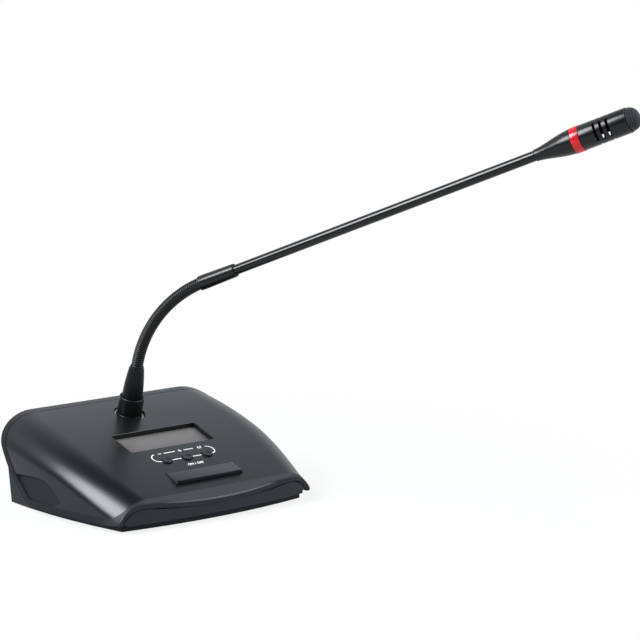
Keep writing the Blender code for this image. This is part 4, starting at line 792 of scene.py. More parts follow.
def cover_shell(settings):
    """Solid of the shell and each face's finish. The outer skin is the section set in by the relief, the
    inner skin is the section set in by the wall, which is thicker behind the side recesses, and the lip hangs
    by its sag. A row of quads closes the front edge and another the rear edge."""
    grid = cover_grid(settings)
    relief, panel, sideways = cover_relief(settings, grid)
    share, y, reach = grid.share, grid.y, grid.reach

    def skin(inset):
        x, z = section(share, y, inset)
        right = np.stack([x, y, z - lip_sag(np.minimum(x, side_x(y)), y) * reach], -1)
        return np.concatenate([right[:, :-1] * MIRROR, right[:, ::-1]], 1)

    wall = COVER_WALL + settings.leaf_depth / 3 * sideways * (reach == 0)
    rings = np.concatenate([skin(relief), skin(wall)[:, ::-1]], 1)
    rows, columns = rings.shape[:2]
    faces = grid_faces(rows, columns, wrap_columns=True)
    satin = np.maximum(panel, (share < REAR_CORNER_SHARE) & (y > 0))
    satin[:len(RIM_STEPS)] = 1
    outside = np.concatenate([satin[:, :-1], satin[:, ::-1]], 1)
    satin = np.concatenate([outside, np.zeros_like(outside)], 1).ravel()
    finishes = (satin[np.array(faces)].mean(1) < 0.5).astype(int).tolist()
    i = np.arange(columns // 2 - 1)
    for base, finish in ((0, 2), ((rows - 1) * columns, 1)):
        across = np.stack([i, i + 1, columns - 2 - i, columns - 1 - i], -1)
        faces += (base + across).tolist()
        finishes += [finish] * len(i)
    return (rings.reshape(-1, 3), faces), finishes


def crown_ring(outline, height):
    """An outline in a surface frame's plane, laid at a height over the arched crown: z = h - y^2 / 2R."""
    x, y = np.asarray(outline, float).T
    return np.stack([x, y, height - y ** 2 / (2 * TOP_RADIUS)], -1)


def rectangle(width, depth, corner, steps=5):
    """A rectangle's outline about the origin with rounded corners."""
    w, d = width / 2, depth / 2
    return softened([(-w, -d), (w, -d), (w, d), (-w, d)], corner, steps)


def opening(width, depth, corner, chamfer, low, row=0.0):
    """Cutter for an opening: straight walls that flare by the chamfer where they meet the surface."""
    rings = []
    for height, grow in ((low, 0.0), (-chamfer, 0.0), (0.0, chamfer), (0.004, chamfer + 0.004)):
        ring = rectangle(width + 2 * grow, depth + 2 * grow, corner + grow) + np.array([0, row])
        rings.append(crown_ring(ring, height))
    return lofted(rings)


def round_opening(radius, chamfer, low):
    """Cutter for a round hole with a chamfered mouth."""
    over = 0.003
    return turned([(0, low), (radius, low), (radius, -chamfer), (radius + chamfer, 0),
                   (radius + chamfer + over, over), (0, over)], 72)


def leaf_cutter(settings, side):
    """Cutter for the leaf-shaped recess in a side: rows run from the arc to the straight edges below it, and
    its floor sinks evenly towards the upper rear corner. The arc is a running mean of five of its points."""
    t, u = np.linspace(0, 1, len(LEAF_TOP)), np.linspace(0, 1, 61)
    arched, straight = (np.stack([np.interp(u, t, line[:, k]) for k in (0, 1)], -1)
                        for line in (LEAF_TOP, LEAF_FOOT))
    for k in (0, 1):
        arched[2:-2, k] = np.convolve(arched[:, k], np.ones(5) / 5, "valid")
    s = np.linspace(0, 1, 13)[:, None, None]
    y, z = np.moveaxis(arched * (1 - s) + straight * s, -1, 0)
    sink = LEAF_LEAST + settings.leaf_depth * (0.62 * (y - LEAF_FRONT_Y) / LEAF_LENGTH
                                               + 0.38 * (z - LEAF_LOW_Z) / LEAF_HEIGHT)
    floor, outside = (np.stack([side * (side_x(y) + out), y, z], -1) for out in (-sink, 0.004))
    return slab(floor, outside)


def build_cover():
    """Top cover: the relief shell, the frame under the display and every opening."""
    settings = bpy.context.scene.delegate_cover
    shell, indices = cover_shell(settings)
    cover = new_object("cover_moulding", shell, ["cover", "strip", "edge"], indices)
    wide, deep = LCD_SIZE
    wall, chamfer = 0.0018, settings.opening_chamfer
    display_frame = lofted([crown_ring(rectangle(wide + 2 * wall, deep + 2 * wall, 0.001), height)
                            for height in (-LCD_DEPTH + 0.0003, -COVER_WALL * 0.6)])
    key_wide, key_deep = (size + 2 * KEY_GAP for size in KEY_SIZE)
    cutters = [moved(opening(wide, deep, 0.0009, chamfer, low=-0.012), LCD_FRAME),
               moved(round_opening(MIC_HOLE, chamfer, low=-0.009), MIC_FRAME),
               moved(opening(key_wide, key_deep, 0.0008, chamfer, low=-0.008, row=KEY_ROW), PANEL_FRAME)]
    for k in (-1, 0, 1):
        spot = PANEL_FRAME @ Matrix.Translation((k * BUTTON_PITCH, BUTTON_ROW,
                                                 -BUTTON_ROW ** 2 / 2 / TOP_RADIUS))
        cutters.append(moved(round_opening(BUTTON_HOLE, chamfer, low=-0.008), spot))
    leaves = merged([leaf_cutter(settings, side) for side in (-1, 1)])
    carve(cover, moved(display_frame, LCD_FRAME), ["cover", "strip"], 1, "UNION")
    carve(cover, merged(cutters), ["cover", "strip"])
    carve(cover, leaves, ["cover", "strip"], 1)
    finish_piece(cover, "base", ["top_cover"], 15)


def lower_corners(thing):
    """A CAD copy's upper corners follow the cover's slanting ones: each point sinks by what the cover's
    section loses over it, in full at the top and not at all at the foot."""
    co = np.empty(len(thing.data.vertices) * 3)
    thing.data.vertices.foreach_get("co", co)
    x, y, z = co.reshape(-1, 3).T
    run, drop = along(SHOULDER_RUN, y), along(SHOULDER_DROP, y)
    u = np.clip((np.abs(x) - side_x(y) + run) / run, 0, 1)
    cosine = np.sqrt(1 - u ** 2)
    before = top_z(y) - drop * (1 - cosine)
    after = top_z(y) - shoulder_drop(y) * (1 - cosine ** corner_power(y))
    foot = COVER_EDGE_Z + TIP_RISE
    z += (after - before) * np.clip((z - foot) / (before - foot), 0, 1)
    thing.data.vertices.foreach_set("co", np.stack([x, y, z], -1).ravel())


def fascia_panel(gap):
    """Front panel under the lip. It stands just behind the lip's front edge, its top follows the cover's
    inner skin at a gap, and beyond the case it steps up to the cover's foot and closes the lip's overhang.
    Rows share the height between top and foot, and the foot's front edge is a quarter round."""
    share = np.sort(np.concatenate([np.linspace(0, 1, 150), np.linspace(*FASCIA_END_SHARES, 24)]))[:, None]
    y = np.full_like(share, CREASE_Y)
    for _ in range(4):
        y = lip_front(section(share, y, COVER_WALL)[0]) + FASCIA_SETBACK
    x, top = section(share, y, COVER_WALL + gap)
    crease = crease_y(share)
    top = top - lip_sag(x, y) * (crease - y) / (crease - lip_front(x))
    turned_up = np.clip((x - FASCIA_END + FASCIA_CORNER) / FASCIA_CORNER, 0, 1)
    foot = FASCIA_FOOT + FASCIA_CORNER * (1 - np.sqrt(1 - turned_up ** 2))
    foot = np.where(x > FASCIA_END, FASCIA_WING_FOOT, foot)
    z = np.maximum(top, foot + FASCIA_LEAST) * (1 - FASCIA_ROWS) + foot * FASCIA_ROWS
    near = np.clip(1 - (z - foot) / FASCIA_ROUND, 0, 1)
    front = np.stack(np.broadcast_arrays(x, y + FASCIA_ROUND * (1 - np.sqrt(1 - near ** 2)), z), -1)
    front = np.concatenate([front[:0:-1] * MIRROR, front])
    back = front.copy()
    bow = FASCIA_BACK_BOW * (front[:, :, 0] / FASCIA_END) ** 2
    back[:, :, 1] = np.minimum(FASCIA_BACK_MIDDLE + bow, FASCIA_BACK)
    return slab(front, back)


def build_case():
    """Lower case, front panel and battery door."""
    lower_corners(softened_copy("lower_case", "case", 0.00025))
    add_piece("front_panel", fascia_panel(bpy.context.scene.delegate_cover.lip_gap), "fascia", "base",
              "front_fascia")
    softened_copy("battery_door", "case", 0.0002, "battery_door")


def build_display():
    """Display window and the module under it."""
    dress("display", "lcd_window")
    softened_copy("lcd_module", "glass", 0.0003)


def build_controls():
    """Dished round buttons and the wedge key. A button's dish is a parabola, and the key is one section
    carried across its width that shrinks a little at both ends."""
    low, flange, top, dish, dish_radius = -0.0044, 0.0052, 0.0011, 0.0007, 0.0031
    u = np.linspace(0, 1, 12)
    bowl = np.stack([dish_radius * (1 - u), top - dish * (1 - (1 - u) ** 2)], -1)
    outline = softened([(0, low), (flange, low), (flange, low + 0.001), (BUTTON_RADIUS, low + 0.001),
                        (BUTTON_RADIUS, top), (dish_radius, top)], 0.00045)
    outline = np.concatenate([outline[:-1], bowl])
    for name, k in (("volume_down_button", -1), ("volume_up_button", 0), ("mute_button", 1)):
        spot = PANEL_FRAME @ Matrix.Translation((k * BUTTON_PITCH, BUTTON_ROW, 0))
        add_piece(name + "_cap", moved(turned(outline, 64), spot), "key", name, name)
    half, deep = KEY_SIZE[0] / 2, KEY_SIZE[1] / 2
    low, rear, front = -0.0022, 0.0004, 0.0029
    ends = ((0, 0.00045), (0.00012, 0.0002), (0.0003, 0.00006), (0.0005, 0))
    rings = []
    for x, shrink in [(-half + inward, less) for inward, less in ends] + [
            (half - inward, less) for inward, less in ends[::-1]]:
        ring = softened([(KEY_ROW - deep + shrink, low + shrink), (KEY_ROW + deep - shrink, low + shrink),
                         (KEY_ROW + deep - shrink, rear - shrink), (KEY_ROW - deep + shrink, front - shrink)],
                        0.0005)
        rings.append(np.column_stack([np.full(len(ring), x), ring]))
    add_piece("on_off_key_cap", moved(lofted(rings), PANEL_FRAME), "key", "on_off_key", "on_off_key")


def ribbon(line, width, ink):
    """A flat printed line: a polyline offset by half its width to both sides, lying on the arched panel from
    a little under the surface up to the ink's height."""
    ahead = np.gradient(line, axis=0)
    ahead /= np.linalg.norm(ahead, axis=1, keepdims=True)
    side = np.stack([-ahead[:, 1], ahead[:, 0]], -1) * width / 2
    outline = np.concatenate([line + side, (line - side)[::-1]])
    return lofted([crown_ring(outline, -0.0002), crown_ring(outline, ink)])


def straight(start, end):
    """Three points on a straight line between two."""
    return np.linspace(start, end, 3)


def arc(centre, radius, start, end, count=25):
    """Points on a circle between two angles in degrees."""
    a = np.radians(np.linspace(start, end, count))
    return np.stack([centre[0] + radius * np.cos(a), centre[1] + radius * np.sin(a)], -1)


def build_marks():
    """White print: the line round the buttons, a minus, a plus, a crossed microphone and ON / OFF."""
    settings = bpy.context.scene.delegate_marks
    ink, wide, thin = settings.ink, settings.line_width, settings.line_width * 0.85
    high, low, end = 0.0206, 0.0105, 0.0228
    middle, radius = (high + low) / 2, (high - low) / 2
    minus, plus, mic, arm = -0.0183, 0.0, 0.0172, 0.0014
    lines = [(straight((-0.0146, high), (-0.0044, high)), wide),
             (straight((0.0037, high), (0.0123, high)), wide),
             (straight((-0.0132, low), (-0.0051, low)), wide), (straight((0.0051, low), (0.0132, low)), wide),
             (arc((-end, middle), radius, 96, 270), wide), (arc((end, middle), radius, 84, -90), wide),
             (straight((minus - arm, high), (minus + arm, high)), thin),
             (straight((plus - arm, high), (plus + arm, high)), thin),
             (straight((plus, high - arm), (plus, high - thin / 2)), thin),
             (straight((plus, high + thin / 2), (plus, high + arm)), thin),
             (straight((mic, high - 0.0003), (mic, high + 0.0012)), 0.0012),
             (arc((mic, high), 0.0012, 180, 360), 0.0004),
             (straight((mic, high - 0.0013), (mic, high - 0.0019)), 0.0004),
             (straight((mic + 0.0017, high - 0.0015), (mic + 0.0025, high + 0.0017)), 0.0005)]
    solid = merged([ribbon(line, width, ink) for line, width in lines])
    add_piece("panel_print", moved(solid, PANEL_FRAME), "ink", "base")

    size_over_capital = 1.42
    letters = bpy.data.curves.new("on_off_words", "FONT")
    letters.body = "ON / OFF"
    letters.size = settings.letter_height * size_over_capital
    letters.align_x, letters.align_y = "CENTER", "CENTER"
    letters.extrude, letters.offset = 0.0001, 0.00012
    letters.space_character = 1.05
    words = bpy.data.objects.new("on_off_words", letters)
    bpy.context.scene.collection.objects.link(words)
    graph = bpy.context.evaluated_depsgraph_get()
    mesh = bpy.data.meshes.new_from_object(words.evaluated_get(graph))
    bpy.data.objects.remove(words)
    mesh.transform(PANEL_FRAME @ Matrix.Translation((0.0017, 0.0013, ink - 0.0001)))
    mesh.materials.append(FINISHES["ink"])
    printed = bpy.data.objects.new("on_off_print", mesh)
    bpy.context.scene.collection.objects.link(printed)
    finish_piece(printed, "base", angle=20)


def upright(node):
    """Frame at the foot of an upright round node's axis, its radius, and its lowest and highest height."""
    low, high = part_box(node)
    axis = Matrix.Translation(((low.x + high.x) / 2, (low.y + high.y) / 2, 0))
    return axis, (high.x - low.x) / 2, low.z, high.z


def build_underside():
    """Rubber feet with a dished sole, and screws with a ridged shank and a cross recess."""
    dish, shank, ridge, pitch = 0.0003, 0.0012, 0.0002, 0.00038
    for number in range(1, 5):
        axis, r, low, high = upright("rubber_foot_%d" % number)
        sole = softened([(0, high), (r, high), (r, 0), (r * 0.8, 0), (r * 0.72, dish)], 0.0003)
        add_piece("foot_pad_%d" % number, moved(turned(np.concatenate([sole, [(0, dish)]]), 64), axis),
                  "rubber", "base", "rubber_foot_%d" % number)
        axis, r, low, high = upright("case_screw_%d" % number)
        under = low + 0.0014
        count = np.arange(36)
        ridges = np.stack([shank - ridge * (count % 2), under + 0.0004 + count * pitch], -1)
        ridges[-1, 0] = 0.0003
        head = softened([(0, low), (r * 0.6, low), (r, low + 0.0006), (r, under), (shank, under)], 0.0002)
        outline = np.concatenate([head, ridges, [(0, ridges[-1, 1])]])
        screw = new_object("screw_%d" % number, moved(turned(outline, 48), axis), ["zinc"])
        for across in ((0.0032, 0.0007), (0.0007, 0.0032)):
            ring = rectangle(*across, 0.0001, 2)
            recess = lofted([np.column_stack([ring * size, np.full(len(ring), low + height)])
                             for size, height in ((1, -0.0005), (1, 0), (0.55, 0.001))])
            carve(screw, moved(recess, axis), ["zinc"])
        finish_piece(screw, "base", ["case_screw_%d" % number])


def build_inside():
    """Finishes of the boards, cells and fittings inside, with round cells for the batteries."""
    dress("zinc", "ballast_plate", "key_hinge_pin")
    dress("nylon", "battery_box", "volume_down_switch", "volume_up_switch", "mute_switch", "on_off_switch",
          "socket_insert", "plug_insert")
    dress("board", "main_board", "key_board", "led_board", "antenna_strip")
    dress("nickel", "radio_can", "battery_contact_1", "battery_contact_2")
    dress("rubber", "capsule_holder")
    dress("can", "mic_capsule")
    cap = 0.0014
    for number in (1, 2):
        low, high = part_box("battery_cell_%d" % number)
        r, half = (high.z - low.z) / 2, (high.x - low.x) / 2
        outline = softened([(0, -half), (r, -half), (r, half - cap), (r * 0.32, half - cap), (r * 0.3, half),
                            (0, half)], 0.0006)
        spot = Matrix.Translation([(a + b) / 2 for a, b in zip(low, high)])
        add_piece("cell_%d" % number, moved(turned(outline, 64), spot @ Matrix.Rotation(math.pi / 2, 4, "Y")),
                  "cell", "base", "battery_cell_%d" % number)


def build_socket():
    """Nickel socket shell, plug shell with a chamfered mouth, and the contact pins."""
    bore, r, rim = 0.0099, 0.0116, 0.015
    outline = softened([(bore, -0.025), (r, -0.025), (r, -0.0056), (rim, -0.0056), (rim, -0.004), (r, -0.004),
                        (r, -0.0016), (bore, -0.0016)], 0.0004)
    add_piece("socket_shell", moved(turned(outline), MIC_FRAME), "nickel", "base", "mic_socket")
    bore, r, low, top, groove = 0.0084, 0.0095, -0.015, 0.0138, 0.00025
    outline = softened([(bore, low), (r - 0.0003, low), (r, low + 0.0004), (r, -0.0006), (r - groove, -0.0003),
                        (r - groove, 0.0003), (r, 0.0006), (r, top - 0.0005), (r - 0.0005, top), (bore, top)],
                       0.0001)
    add_piece("plug_shell", moved(turned(outline), MIC_FRAME), "collar", "mic_plug", "plug_collar")
    r, low, top = 0.00115, -0.0128, -0.0023
    outline = softened([(0, low), (0.0008, low), (r, low + 0.0006), (r, top), (0, top)], 0.0002)
    for number, angle in enumerate((30, 150, 270), 1):
        a = math.radians(angle)
        spot = MIC_FRAME @ Matrix.Translation((PIN_CIRCLE * math.cos(a), PIN_CIRCLE * math.sin(a), 0))
        add_piece("pin_%d" % number, moved(turned(outline, 32), spot), "nickel", "mic_plug",
                  "contact_pin_%d" % number)


def build_boot():
    """Tapered boot: a smooth outline with a thin lip at its top, bored for the hose."""
    r, hose_hole, plug_hole = 0.00785, 0.00455, 0.0062
    share, radius = smooth_line(((0.0, 1.0), (0.2, 1.0), (0.45, 0.955), (0.65, 0.88), (0.85, 0.78),
                                 (1.0, 0.69)), 40)
    outer = np.stack([r * radius, BOOT_FOOT + (BOOT_TOP - BOOT_FOOT) * share], -1)
    outer[-3:] = outer[-1] + np.array([(-0.0003, -0.0007), (-0.0005, -0.0002), (-0.0004, 0)])
    inner = np.array([(hose_hole, BOOT_TOP), (hose_hole, BOOT_TOP - 0.0064), (NECK_BORE, BOOT_TOP - 0.0064),
                      (NECK_BORE, BOOT_TOP - 0.012), (plug_hole, 0.019), (plug_hole, BOOT_FOOT)])
    add_piece("boot_sleeve", moved(turned(np.concatenate([outer, inner])),
                                   MIC_FRAME @ Matrix.Rotation(NECK_TURN, 4, "Z")), "boot", "neck_foot", "boot")


def neck_path(s):
    """Place along, place aside and angle of the neck's centre line at distances from the boot's top:
    straight, then three arcs in a row. An arc's chord is its length times sin(turn / 2) / (turn / 2)."""
    s = np.asarray(s, float)
    place, aside, angle = np.minimum(s, 0.0), 0 * s, 0 * s
    link = NECK_BEND / HINGES
    before = 0.0
    for run, turn in ((HINGE_FIRST, link / 2), (HINGE_PITCH * (HINGES - 1), link * (HINGES - 1)),
                      (HINGE_LAST, link / 2)):
        step = np.clip(s - before, 0, run)
        part = turn * step / run
        chord = step * np.sinc(part / 2 / np.pi)
        place = place + chord * np.cos(angle + part / 2)
        aside = aside + chord * np.sin(angle + part / 2)
        angle = angle + part
        before += run
    extra = np.clip(s - before, 0, None)
    return place + extra * np.cos(angle), aside + extra * np.sin(angle), angle


def hose(start, end, settings):
    """A length of wound hose: its radius swells from valley to crest as half a sine over each turn of a
    helix, so it reads as one wire wound round the neck. Rings stand square to the centre line, and a bore
    closes it. Each point's share of the way up a turn goes with it."""
    per_rib, sides = 8, 48
    rows = max(2, int(round((end - start) / settings.rib_pitch * per_rib))) + 1
    s = np.linspace(start, end, rows)[:, None]
    a = 2 * np.pi * np.arange(sides)[None, :] / sides
    phase = np.mod(s / settings.rib_pitch + a / (2 * np.pi), 1)
    swell = np.sin(np.pi * phase) ** 0.7
    place, aside, angle = neck_path(s)

    def rings(radius):
        x, out = radius * np.cos(a), radius * np.sin(a)
        return np.stack([x, -aside + out * np.cos(angle), place + out * np.sin(angle)], -1)

    outer = rings(settings.rib_valley + (settings.rib_crest - settings.rib_valley) * swell)
    bore = rings(np.full_like(swell, NECK_BORE))[::-per_rib]
    points = np.concatenate([outer, bore])
    rise = np.concatenate([swell, np.zeros((len(bore), sides))])
    return moved((points.reshape(-1, 3), grid_faces(len(points), sides, True, True)), NECK_FRAME), rise.ravel()


def build_neck():
    """Gooseneck in six lengths, each from the middle of one link to the middle of the next, bending about its
    hinge; they stand for the seven links."""
    settings = bpy.context.scene.delegate_microphone
    for k in range(HINGES):
        hinge = HINGE_FIRST + HINGE_PITCH * k
        last = k == HINGES - 1
        start = hinge - HINGE_PITCH / 2 if k else -NECK_SOCKET
        end = hinge + HINGE_LAST + NECK_SOCKET if last else hinge + HINGE_PITCH / 2
        solid, rise = hose(start, end, settings)
        piece = new_object("hose_%d" % (k + 1), solid, ["neck"])
        piece.data.attributes.new("rise", "FLOAT", "POINT").data.foreach_set("value", rise)
        finish_piece(piece, None, ["neck_link_%d" % (k + 1)] if k else ["neck_link_0", "neck_link_1"], 60)
        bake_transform(piece)


def arm_frame():
    """Frame at the end of the bend: Z along the tube."""
    place, aside, angle = (float(v) for v in neck_path(HINGE_FIRST + HINGE_PITCH * (HINGES - 1) + HINGE_LAST))
    return NECK_FRAME @ Matrix.Translation((0, -aside, place)) @ Matrix.Rotation(angle, 4, "X")


ARM_FRAME = arm_frame()


def build_arm():
    """Ferrule over the end of the hose and the enamelled tube."""
    hose_hole, tube_hole, top = 0.00455, 0.0041, 0.0312
    outline = softened([(hose_hole, 0.0003), (0.0053, 0.0003), (0.0056, 0.0009), (0.0056, 0.006),
                        (0.0051, 0.0306), (0.0048, top), (tube_hole, top), (tube_hole, 0.0189), (0.002, 0.0189),
                        (0.002, 0.0064), (hose_hole, 0.0064)], 0.0003)
    add_piece("ferrule_sleeve", moved(turned(outline), ARM_FRAME), "head", "arm", "ferrule")
    heights = np.linspace(0.0192, HEAD_START + 0.0037, 40)
    outer, inner = (np.column_stack([np.full(40, radius), heights]) for radius in (TUBE_RADIUS, 0.0032))
    add_piece("tube", moved(turned(np.concatenate([outer, inner[::-1]]), 72), ARM_FRAME), "tube", "arm",
              "stem_tube")


def slot_cutter(low, middle, settings):
    """One slot through the head's wall: a long hole with round ends in the unrolled surface, where the angle
    is the length along it over the radius, drawn out radially."""
    half = math.radians(46) * HEAD_RADIUS - settings.slot_width / 2
    r = settings.slot_width / 2
    side = np.linspace(-half, half, 20)
    right, left = arc((half, 0), r, -90, 90, 12), arc((-half, 0), r, 90, 270, 12)
    lower, upper = (np.column_stack([side, np.full(20, edge)]) for edge in (-r, r))
    outline = np.concatenate([lower[:-1], right, upper[::-1][1:-1], left[:-1]])
    a = middle + outline[:, 0] / HEAD_RADIUS
    z = low + r + outline[:, 1]
    return lofted([np.stack([depth * np.cos(a), depth * np.sin(a), z], -1) for depth in (0.006, 0.0115)])


def build_head():
    """Flared cone, red ring, slotted body, foam core and domed windscreen."""
    settings = bpy.context.scene.delegate_microphone
    r, neck, wall, step = HEAD_RADIUS, 0.00435, HEAD_RADIUS - 0.0012, 0.0002
    share, grow = smooth_line(((0.0, 0.0), (0.07, 0.02), (0.25, 0.2), (0.5, 0.53), (0.75, 0.83),
                               (1.0, 1.0)), 40)
    outer = np.stack([neck + (r - neck) * grow, HEAD_START + CONE_LENGTH * share], -1)
    outer[0, 0] -= 0.0002
    inner = np.array([(wall, RING_START), (0.0058, HEAD_START + 0.012), (NECK_BORE, HEAD_START + 0.0065),
                      (NECK_BORE, HEAD_START + 0.004), (0.0041, HEAD_START + 0.004), (0.0041, HEAD_START)])
    add_piece("cone", moved(turned(np.concatenate([outer, inner])), ARM_FRAME), "head", "arm", "head_cone")

    inside, proud = 0.0078, 0.0094
    outline = softened([(inside, RING_START + step), (proud, RING_START + step), (proud, BODY_START - step),
                        (inside, BODY_START - step)], 0.0004)
    add_piece("ring_lens", moved(turned(outline), ARM_FRAME), "ring", "arm", "led_ring")

    bore = 0.0066
    outline = softened([(bore, RING_START - 0.002), (0.0073, RING_START - 0.002), (0.0073, BODY_START),
                        (r, BODY_START), (r, BODY_END - 0.0001), (r - 0.0004, BODY_END), (wall, BODY_END),
                        (wall, BODY_START + 0.0012), (bore, BODY_START + 0.0012)], 0.0003)
    body = new_object("head_shell", moved(turned(outline, 120), ARM_FRAME), ["head"])
    slots = merged([slot_cutter(BODY_START + 0.0108 + 0.0049 * row, math.radians(-72) + 2 * math.pi * group / 3,
                                settings) for row in range(3) for group in range(3)])
    carve(body, moved(slots, ARM_FRAME), ["head"])
    finish_piece(body, "arm", ["head_body"])

    lift, aside, foam = math.radians(81), 0.0024, 0.0052
    low, high = BODY_START + 0.003, BODY_START + 0.0242
    outline = softened([(0, low), (foam, low), (foam, high), (0, high)], 0.0008)
    spot = ARM_FRAME @ Matrix.Translation((aside * math.cos(lift), aside * math.sin(lift), 0))
    add_piece("foam_core", moved(turned(outline, 48), spot), "foam", "arm")

    t = np.linspace(0, math.pi / 2, 40)
    outer = np.column_stack([0.0085 * np.cos(t) ** 0.8, DOME_START + 0.0075 * np.sin(t)])
    inner = np.column_stack([0.0079 * np.cos(t), DOME_START + 0.0067 * np.sin(t)])
    outer[-1, 0] = inner[-1, 0] = 0
    screen = new_object("windscreen_dome", moved(turned(np.concatenate([outer, inner[::-1]])), ARM_FRAME),
                        ["mesh"])
    weave_map(screen)
    finish_piece(screen, "arm", ["windscreen"])


def weave_map(screen):
    """UV map in metres over the dome: the distance from its tip along the surface, spread by the angle about
    the axis, so the weave runs on over the tip."""
    mesh = screen.data
    co = np.empty(len(mesh.vertices) * 3)
    mesh.vertices.foreach_get("co", co)
    m = np.array(ARM_FRAME.inverted())
    x, y, z = (co.reshape(-1, 3) @ m[:3, :3].T + m[:3, 3]).T
    reach = np.arctan2(np.hypot(x, y), np.maximum(z - DOME_START, 1e-6)) * 0.0086
    about = np.arctan2(y, x)
    spread = np.stack([reach * np.cos(about), reach * np.sin(about)], -1)
    corner = np.empty(len(mesh.loops), np.int32)
    mesh.loops.foreach_get("vertex_index", corner)
    layer = mesh.uv_layers.new(name="weave")
    layer.data.foreach_set("uv", spread[corner].astype(np.float32).ravel())


# Stage

COOL = (0.9, 0.955, 1.0)
WHITE = (1, 1, 1)
FLOOR_HALF = 3.0
LIGHT_AIM = Vector((0.03, -0.1, 0.15))
CAMERA_PLACE = (-1.06726, -1.49611, 0.45333)
CAMERA_AZIMUTH = math.radians(-39.19)
CAMERA_FALL = math.radians(9.767)
FOCAL_LENGTH = 140.625
SENSOR_WIDTH = 36


def white_rays(tree):
    """One where the ray comes from the camera, from gloss or through glass, else nought."""
    rays = add_node(tree, "LightPath").outputs
    both = add_node(tree, "Math", {0: rays["Is Camera Ray"], 1: rays["Is Glossy Ray"]}, operation="MAXIMUM")
    return add_node(tree, "Math", {0: both, 1: rays["Is Transmission Ray"]}, operation="MAXIMUM")


def white_to_camera(tree):
    """White where the camera looks at it, else the lamps' cool white."""
    seen = add_node(tree, "LightPath").outputs["Is Camera Ray"]
    return add_node(tree, "Mix", {0: seen, 6: (*COOL, 1), 7: (*WHITE, 1)}, data_type="RGBA")


def light_room(scene):
    """World: white to the camera. To all other rays it is a cool room, dimmer overhead and on the left, and
    brighter to gloss than to matt surfaces."""
    scene.world = bpy.data.worlds.new("studio")
    scene.world.use_nodes = True
    tree = scene.world.node_tree
    way = add_node(tree, "SeparateXYZ", {"Vector": add_node(tree, "TexCoord").outputs["Generated"]}).outputs
    ceiling = add_node(tree, "MapRange", {"Value": way["Z"], "From Min": 0.7, "From Max": 0.96, "To Min": 1.0,
                                          "To Max": 0.12}, interpolation_type="SMOOTHSTEP")
    wall = add_node(tree, "MapRange", {"Value": way["X"], "From Min": -0.9, "From Max": -0.3, "To Min": 0.15,
                                       "To Max": 1.0}, interpolation_type="SMOOTHSTEP")
    level = add_node(tree, "MapRange", {"Value": white_rays(tree), "To Min": 0.3, "To Max": 0.94})
    room = add_node(tree, "Math", {0: ceiling, 1: wall}, operation="MULTIPLY")
    studio = add_node(tree, "Math", {0: room, 1: level}, operation="MULTIPLY")
    seen = add_node(tree, "LightPath").outputs["Is Camera Ray"]
    final = add_node(tree, "Math", {0: studio, 1: seen}, operation="MAXIMUM")
    fill(tree.nodes["Background"], {"Color": white_to_camera(tree), "Strength": final})


def lay_floor():
    """Plain pale floor. It is white to the camera and in reflections, a little greyer near the unit, and there
    it keeps the unit's shadow."""
    corners = np.array([(-1, -1, 0), (1, -1, 0), (1, 1, 0), (-1, 1, 0)]) * FLOOR_HALF
    floor = new_object("floor", (corners, [[0, 1, 2, 3]]), [])
    made, tree, shader, place = start_material("pale_floor", 0.9, 0.0)
    fill(shader, {"Base Color": (*srgb("#e2e2e2"), 1)})
    glow = add_node(tree, "Emission", {"Color": white_to_camera(tree), "Strength": 1.0})
    away = add_node(tree, "VectorMath", {0: place}, operation="LENGTH")
    fade = add_node(tree, "MapRange", {"Value": away, "From Min": 0.14, "From Max": 0.5, "To Min": 0.84,
                                       "To Max": 1.0}, interpolation_type="SMOOTHSTEP")
    share = add_node(tree, "Math", {0: fade, 1: white_rays(tree)}, operation="MULTIPLY")
    mix = add_node(tree, "MixShader", {0: share, 1: shader, 2: glow})
    fill(tree.nodes["Material Output"], {"Surface": mix})
    floor.data.materials.append(made)


def add_lamp(scene, name, place, width, depth, power):
    """A softbox of a width and depth in metres and a power in watts, turned to the unit."""
    lamp = bpy.data.lights.new(name, "AREA")
    lamp.shape, lamp.size, lamp.size_y, lamp.energy = "RECTANGLE", width, depth, power
    lamp.color = COOL
    light = bpy.data.objects.new(name, lamp)
    scene.collection.objects.link(light)
    light.location = place
    light.rotation_euler = (LIGHT_AIM - Vector(place)).to_track_quat("-Z", "Y").to_euler()


def add_camera(scene):
    """The photograph's long lens, from the front left and a little above."""
    a, e = CAMERA_AZIMUTH, CAMERA_FALL
    right = Vector((math.cos(a), math.sin(a), 0))
    ahead = Vector((-math.sin(a) * math.cos(e), math.cos(a) * math.cos(e), -math.sin(e)))
    lens = bpy.data.cameras.new("photograph")
    lens.lens, lens.sensor_width, lens.clip_start, lens.clip_end = FOCAL_LENGTH, SENSOR_WIDTH, 0.05, 20
    camera = bpy.data.objects.new("photograph", lens)
    scene.collection.objects.link(camera)
    turn = Matrix((right, right.cross(ahead), -ahead)).transposed().to_4x4()
    camera.matrix_world = Matrix.Translation(CAMERA_PLACE) @ turn
    scene.camera = camera


def build_stage():
    """Pale floor, soft studio light, white background and the photograph's camera."""
    scene = bpy.context.scene
    scene.view_settings.view_transform = "Standard"
    light_room(scene)
    lay_floor()
    add_lamp(scene, "left_softbox", (-1.12, 0.16, 1.09), 0.66, 0.84, 40.0)
    add_lamp(scene, "right_fill", (1.0, -0.74, 1.22), 0.9, 0.9, 15.0)
    add_camera(scene)


# Operators, one for each piece or group of like pieces

def piece_operator(name, label, words, build):
    """An operator class that runs one builder."""
    def execute(self, context):
        build()
        return {"FINISHED"}
    return type("DELEGATE_OT_" + name, (bpy.types.Operator,),
                {"__doc__": words, "bl_idname": "delegate." + name, "bl_label": label,
                 "bl_options": {"REGISTER", "UNDO"}, "execute": execute})


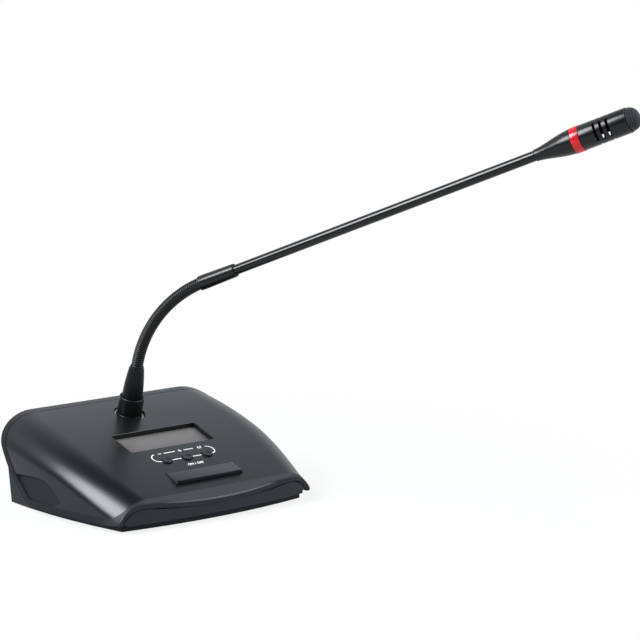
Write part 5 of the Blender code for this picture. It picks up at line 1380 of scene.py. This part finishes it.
OPERATORS = [piece_operator(*row) for row in (
    ("finishes", "Finishes", "Make every finish of the unit", make_finishes),
    ("cover", "Top cover", "Build the top cover with its strip, openings and side recesses", build_cover),
    ("case", "Lower case", "Build the lower case, the front fascia and the battery door", build_case),
    ("display", "Display", "Dress the display window and its module", build_display),
    ("controls", "Key and buttons", "Build the three buttons and the wide key", build_controls),
    ("marks", "Printed marks", "Print the line, the signs and the words on the panel", build_marks),
    ("underside", "Feet and screws", "Build the rubber feet and the case screws", build_underside),
    ("inside", "Inside", "Dress the boards, cells and fittings inside", build_inside),
    ("socket", "Socket and plug", "Build the socket, the plug's shell and its pins", build_socket),
    ("boot", "Boot", "Build the tapered boot", build_boot),
    ("neck", "Gooseneck", "Build the ribbed gooseneck", build_neck),
    ("arm", "Tube", "Build the ferrule and the tube", build_arm),
    ("head", "Microphone head", "Build the cone, red ring, slotted body and windscreen", build_head),
    ("stage", "Stage", "Set up the floor, the lights and the camera", build_stage),
)]


class DELEGATE_PT_unit(bpy.types.Panel):
    """Lists the unit's sizes, colours and pieces."""
    bl_idname = "DELEGATE_PT_unit"
    bl_label = "Delegate Unit"
    bl_space_type = "VIEW_3D"
    bl_region_type = "UI"
    bl_category = "Delegate Unit"

    def draw(self, context):
        for name, group in SETTINGS.items():
            box = self.layout.box()
            box.label(text=group.__doc__)
            for key in group.__annotations__:
                box.prop(getattr(context.scene, name), key)
        for operator in OPERATORS:
            self.layout.operator(operator.bl_idname)


SETTINGS = {"delegate_cover": CoverSettings, "delegate_marks": MarkSettings,
            "delegate_microphone": MicrophoneSettings, "delegate_finish": FinishSettings}


def register():
    for group in SETTINGS.values():
        bpy.utils.register_class(group)
    for name, group in SETTINGS.items():
        setattr(bpy.types.Scene, name, bpy.props.PointerProperty(type=group))
    for operator in OPERATORS:
        bpy.utils.register_class(operator)
    bpy.utils.register_class(DELEGATE_PT_unit)


def unregister():
    bpy.utils.unregister_class(DELEGATE_PT_unit)
    for operator in reversed(OPERATORS):
        bpy.utils.unregister_class(operator)
    for name in SETTINGS:
        delattr(bpy.types.Scene, name)
    for group in reversed(list(SETTINGS.values())):
        bpy.utils.unregister_class(group)


def main():
    """Register, build every piece in order and write both boxes."""
    register()
    for operator in OPERATORS:
        getattr(bpy.ops.delegate, operator.bl_idname.split(".")[1])()


if __name__ == "__main__":
    main()
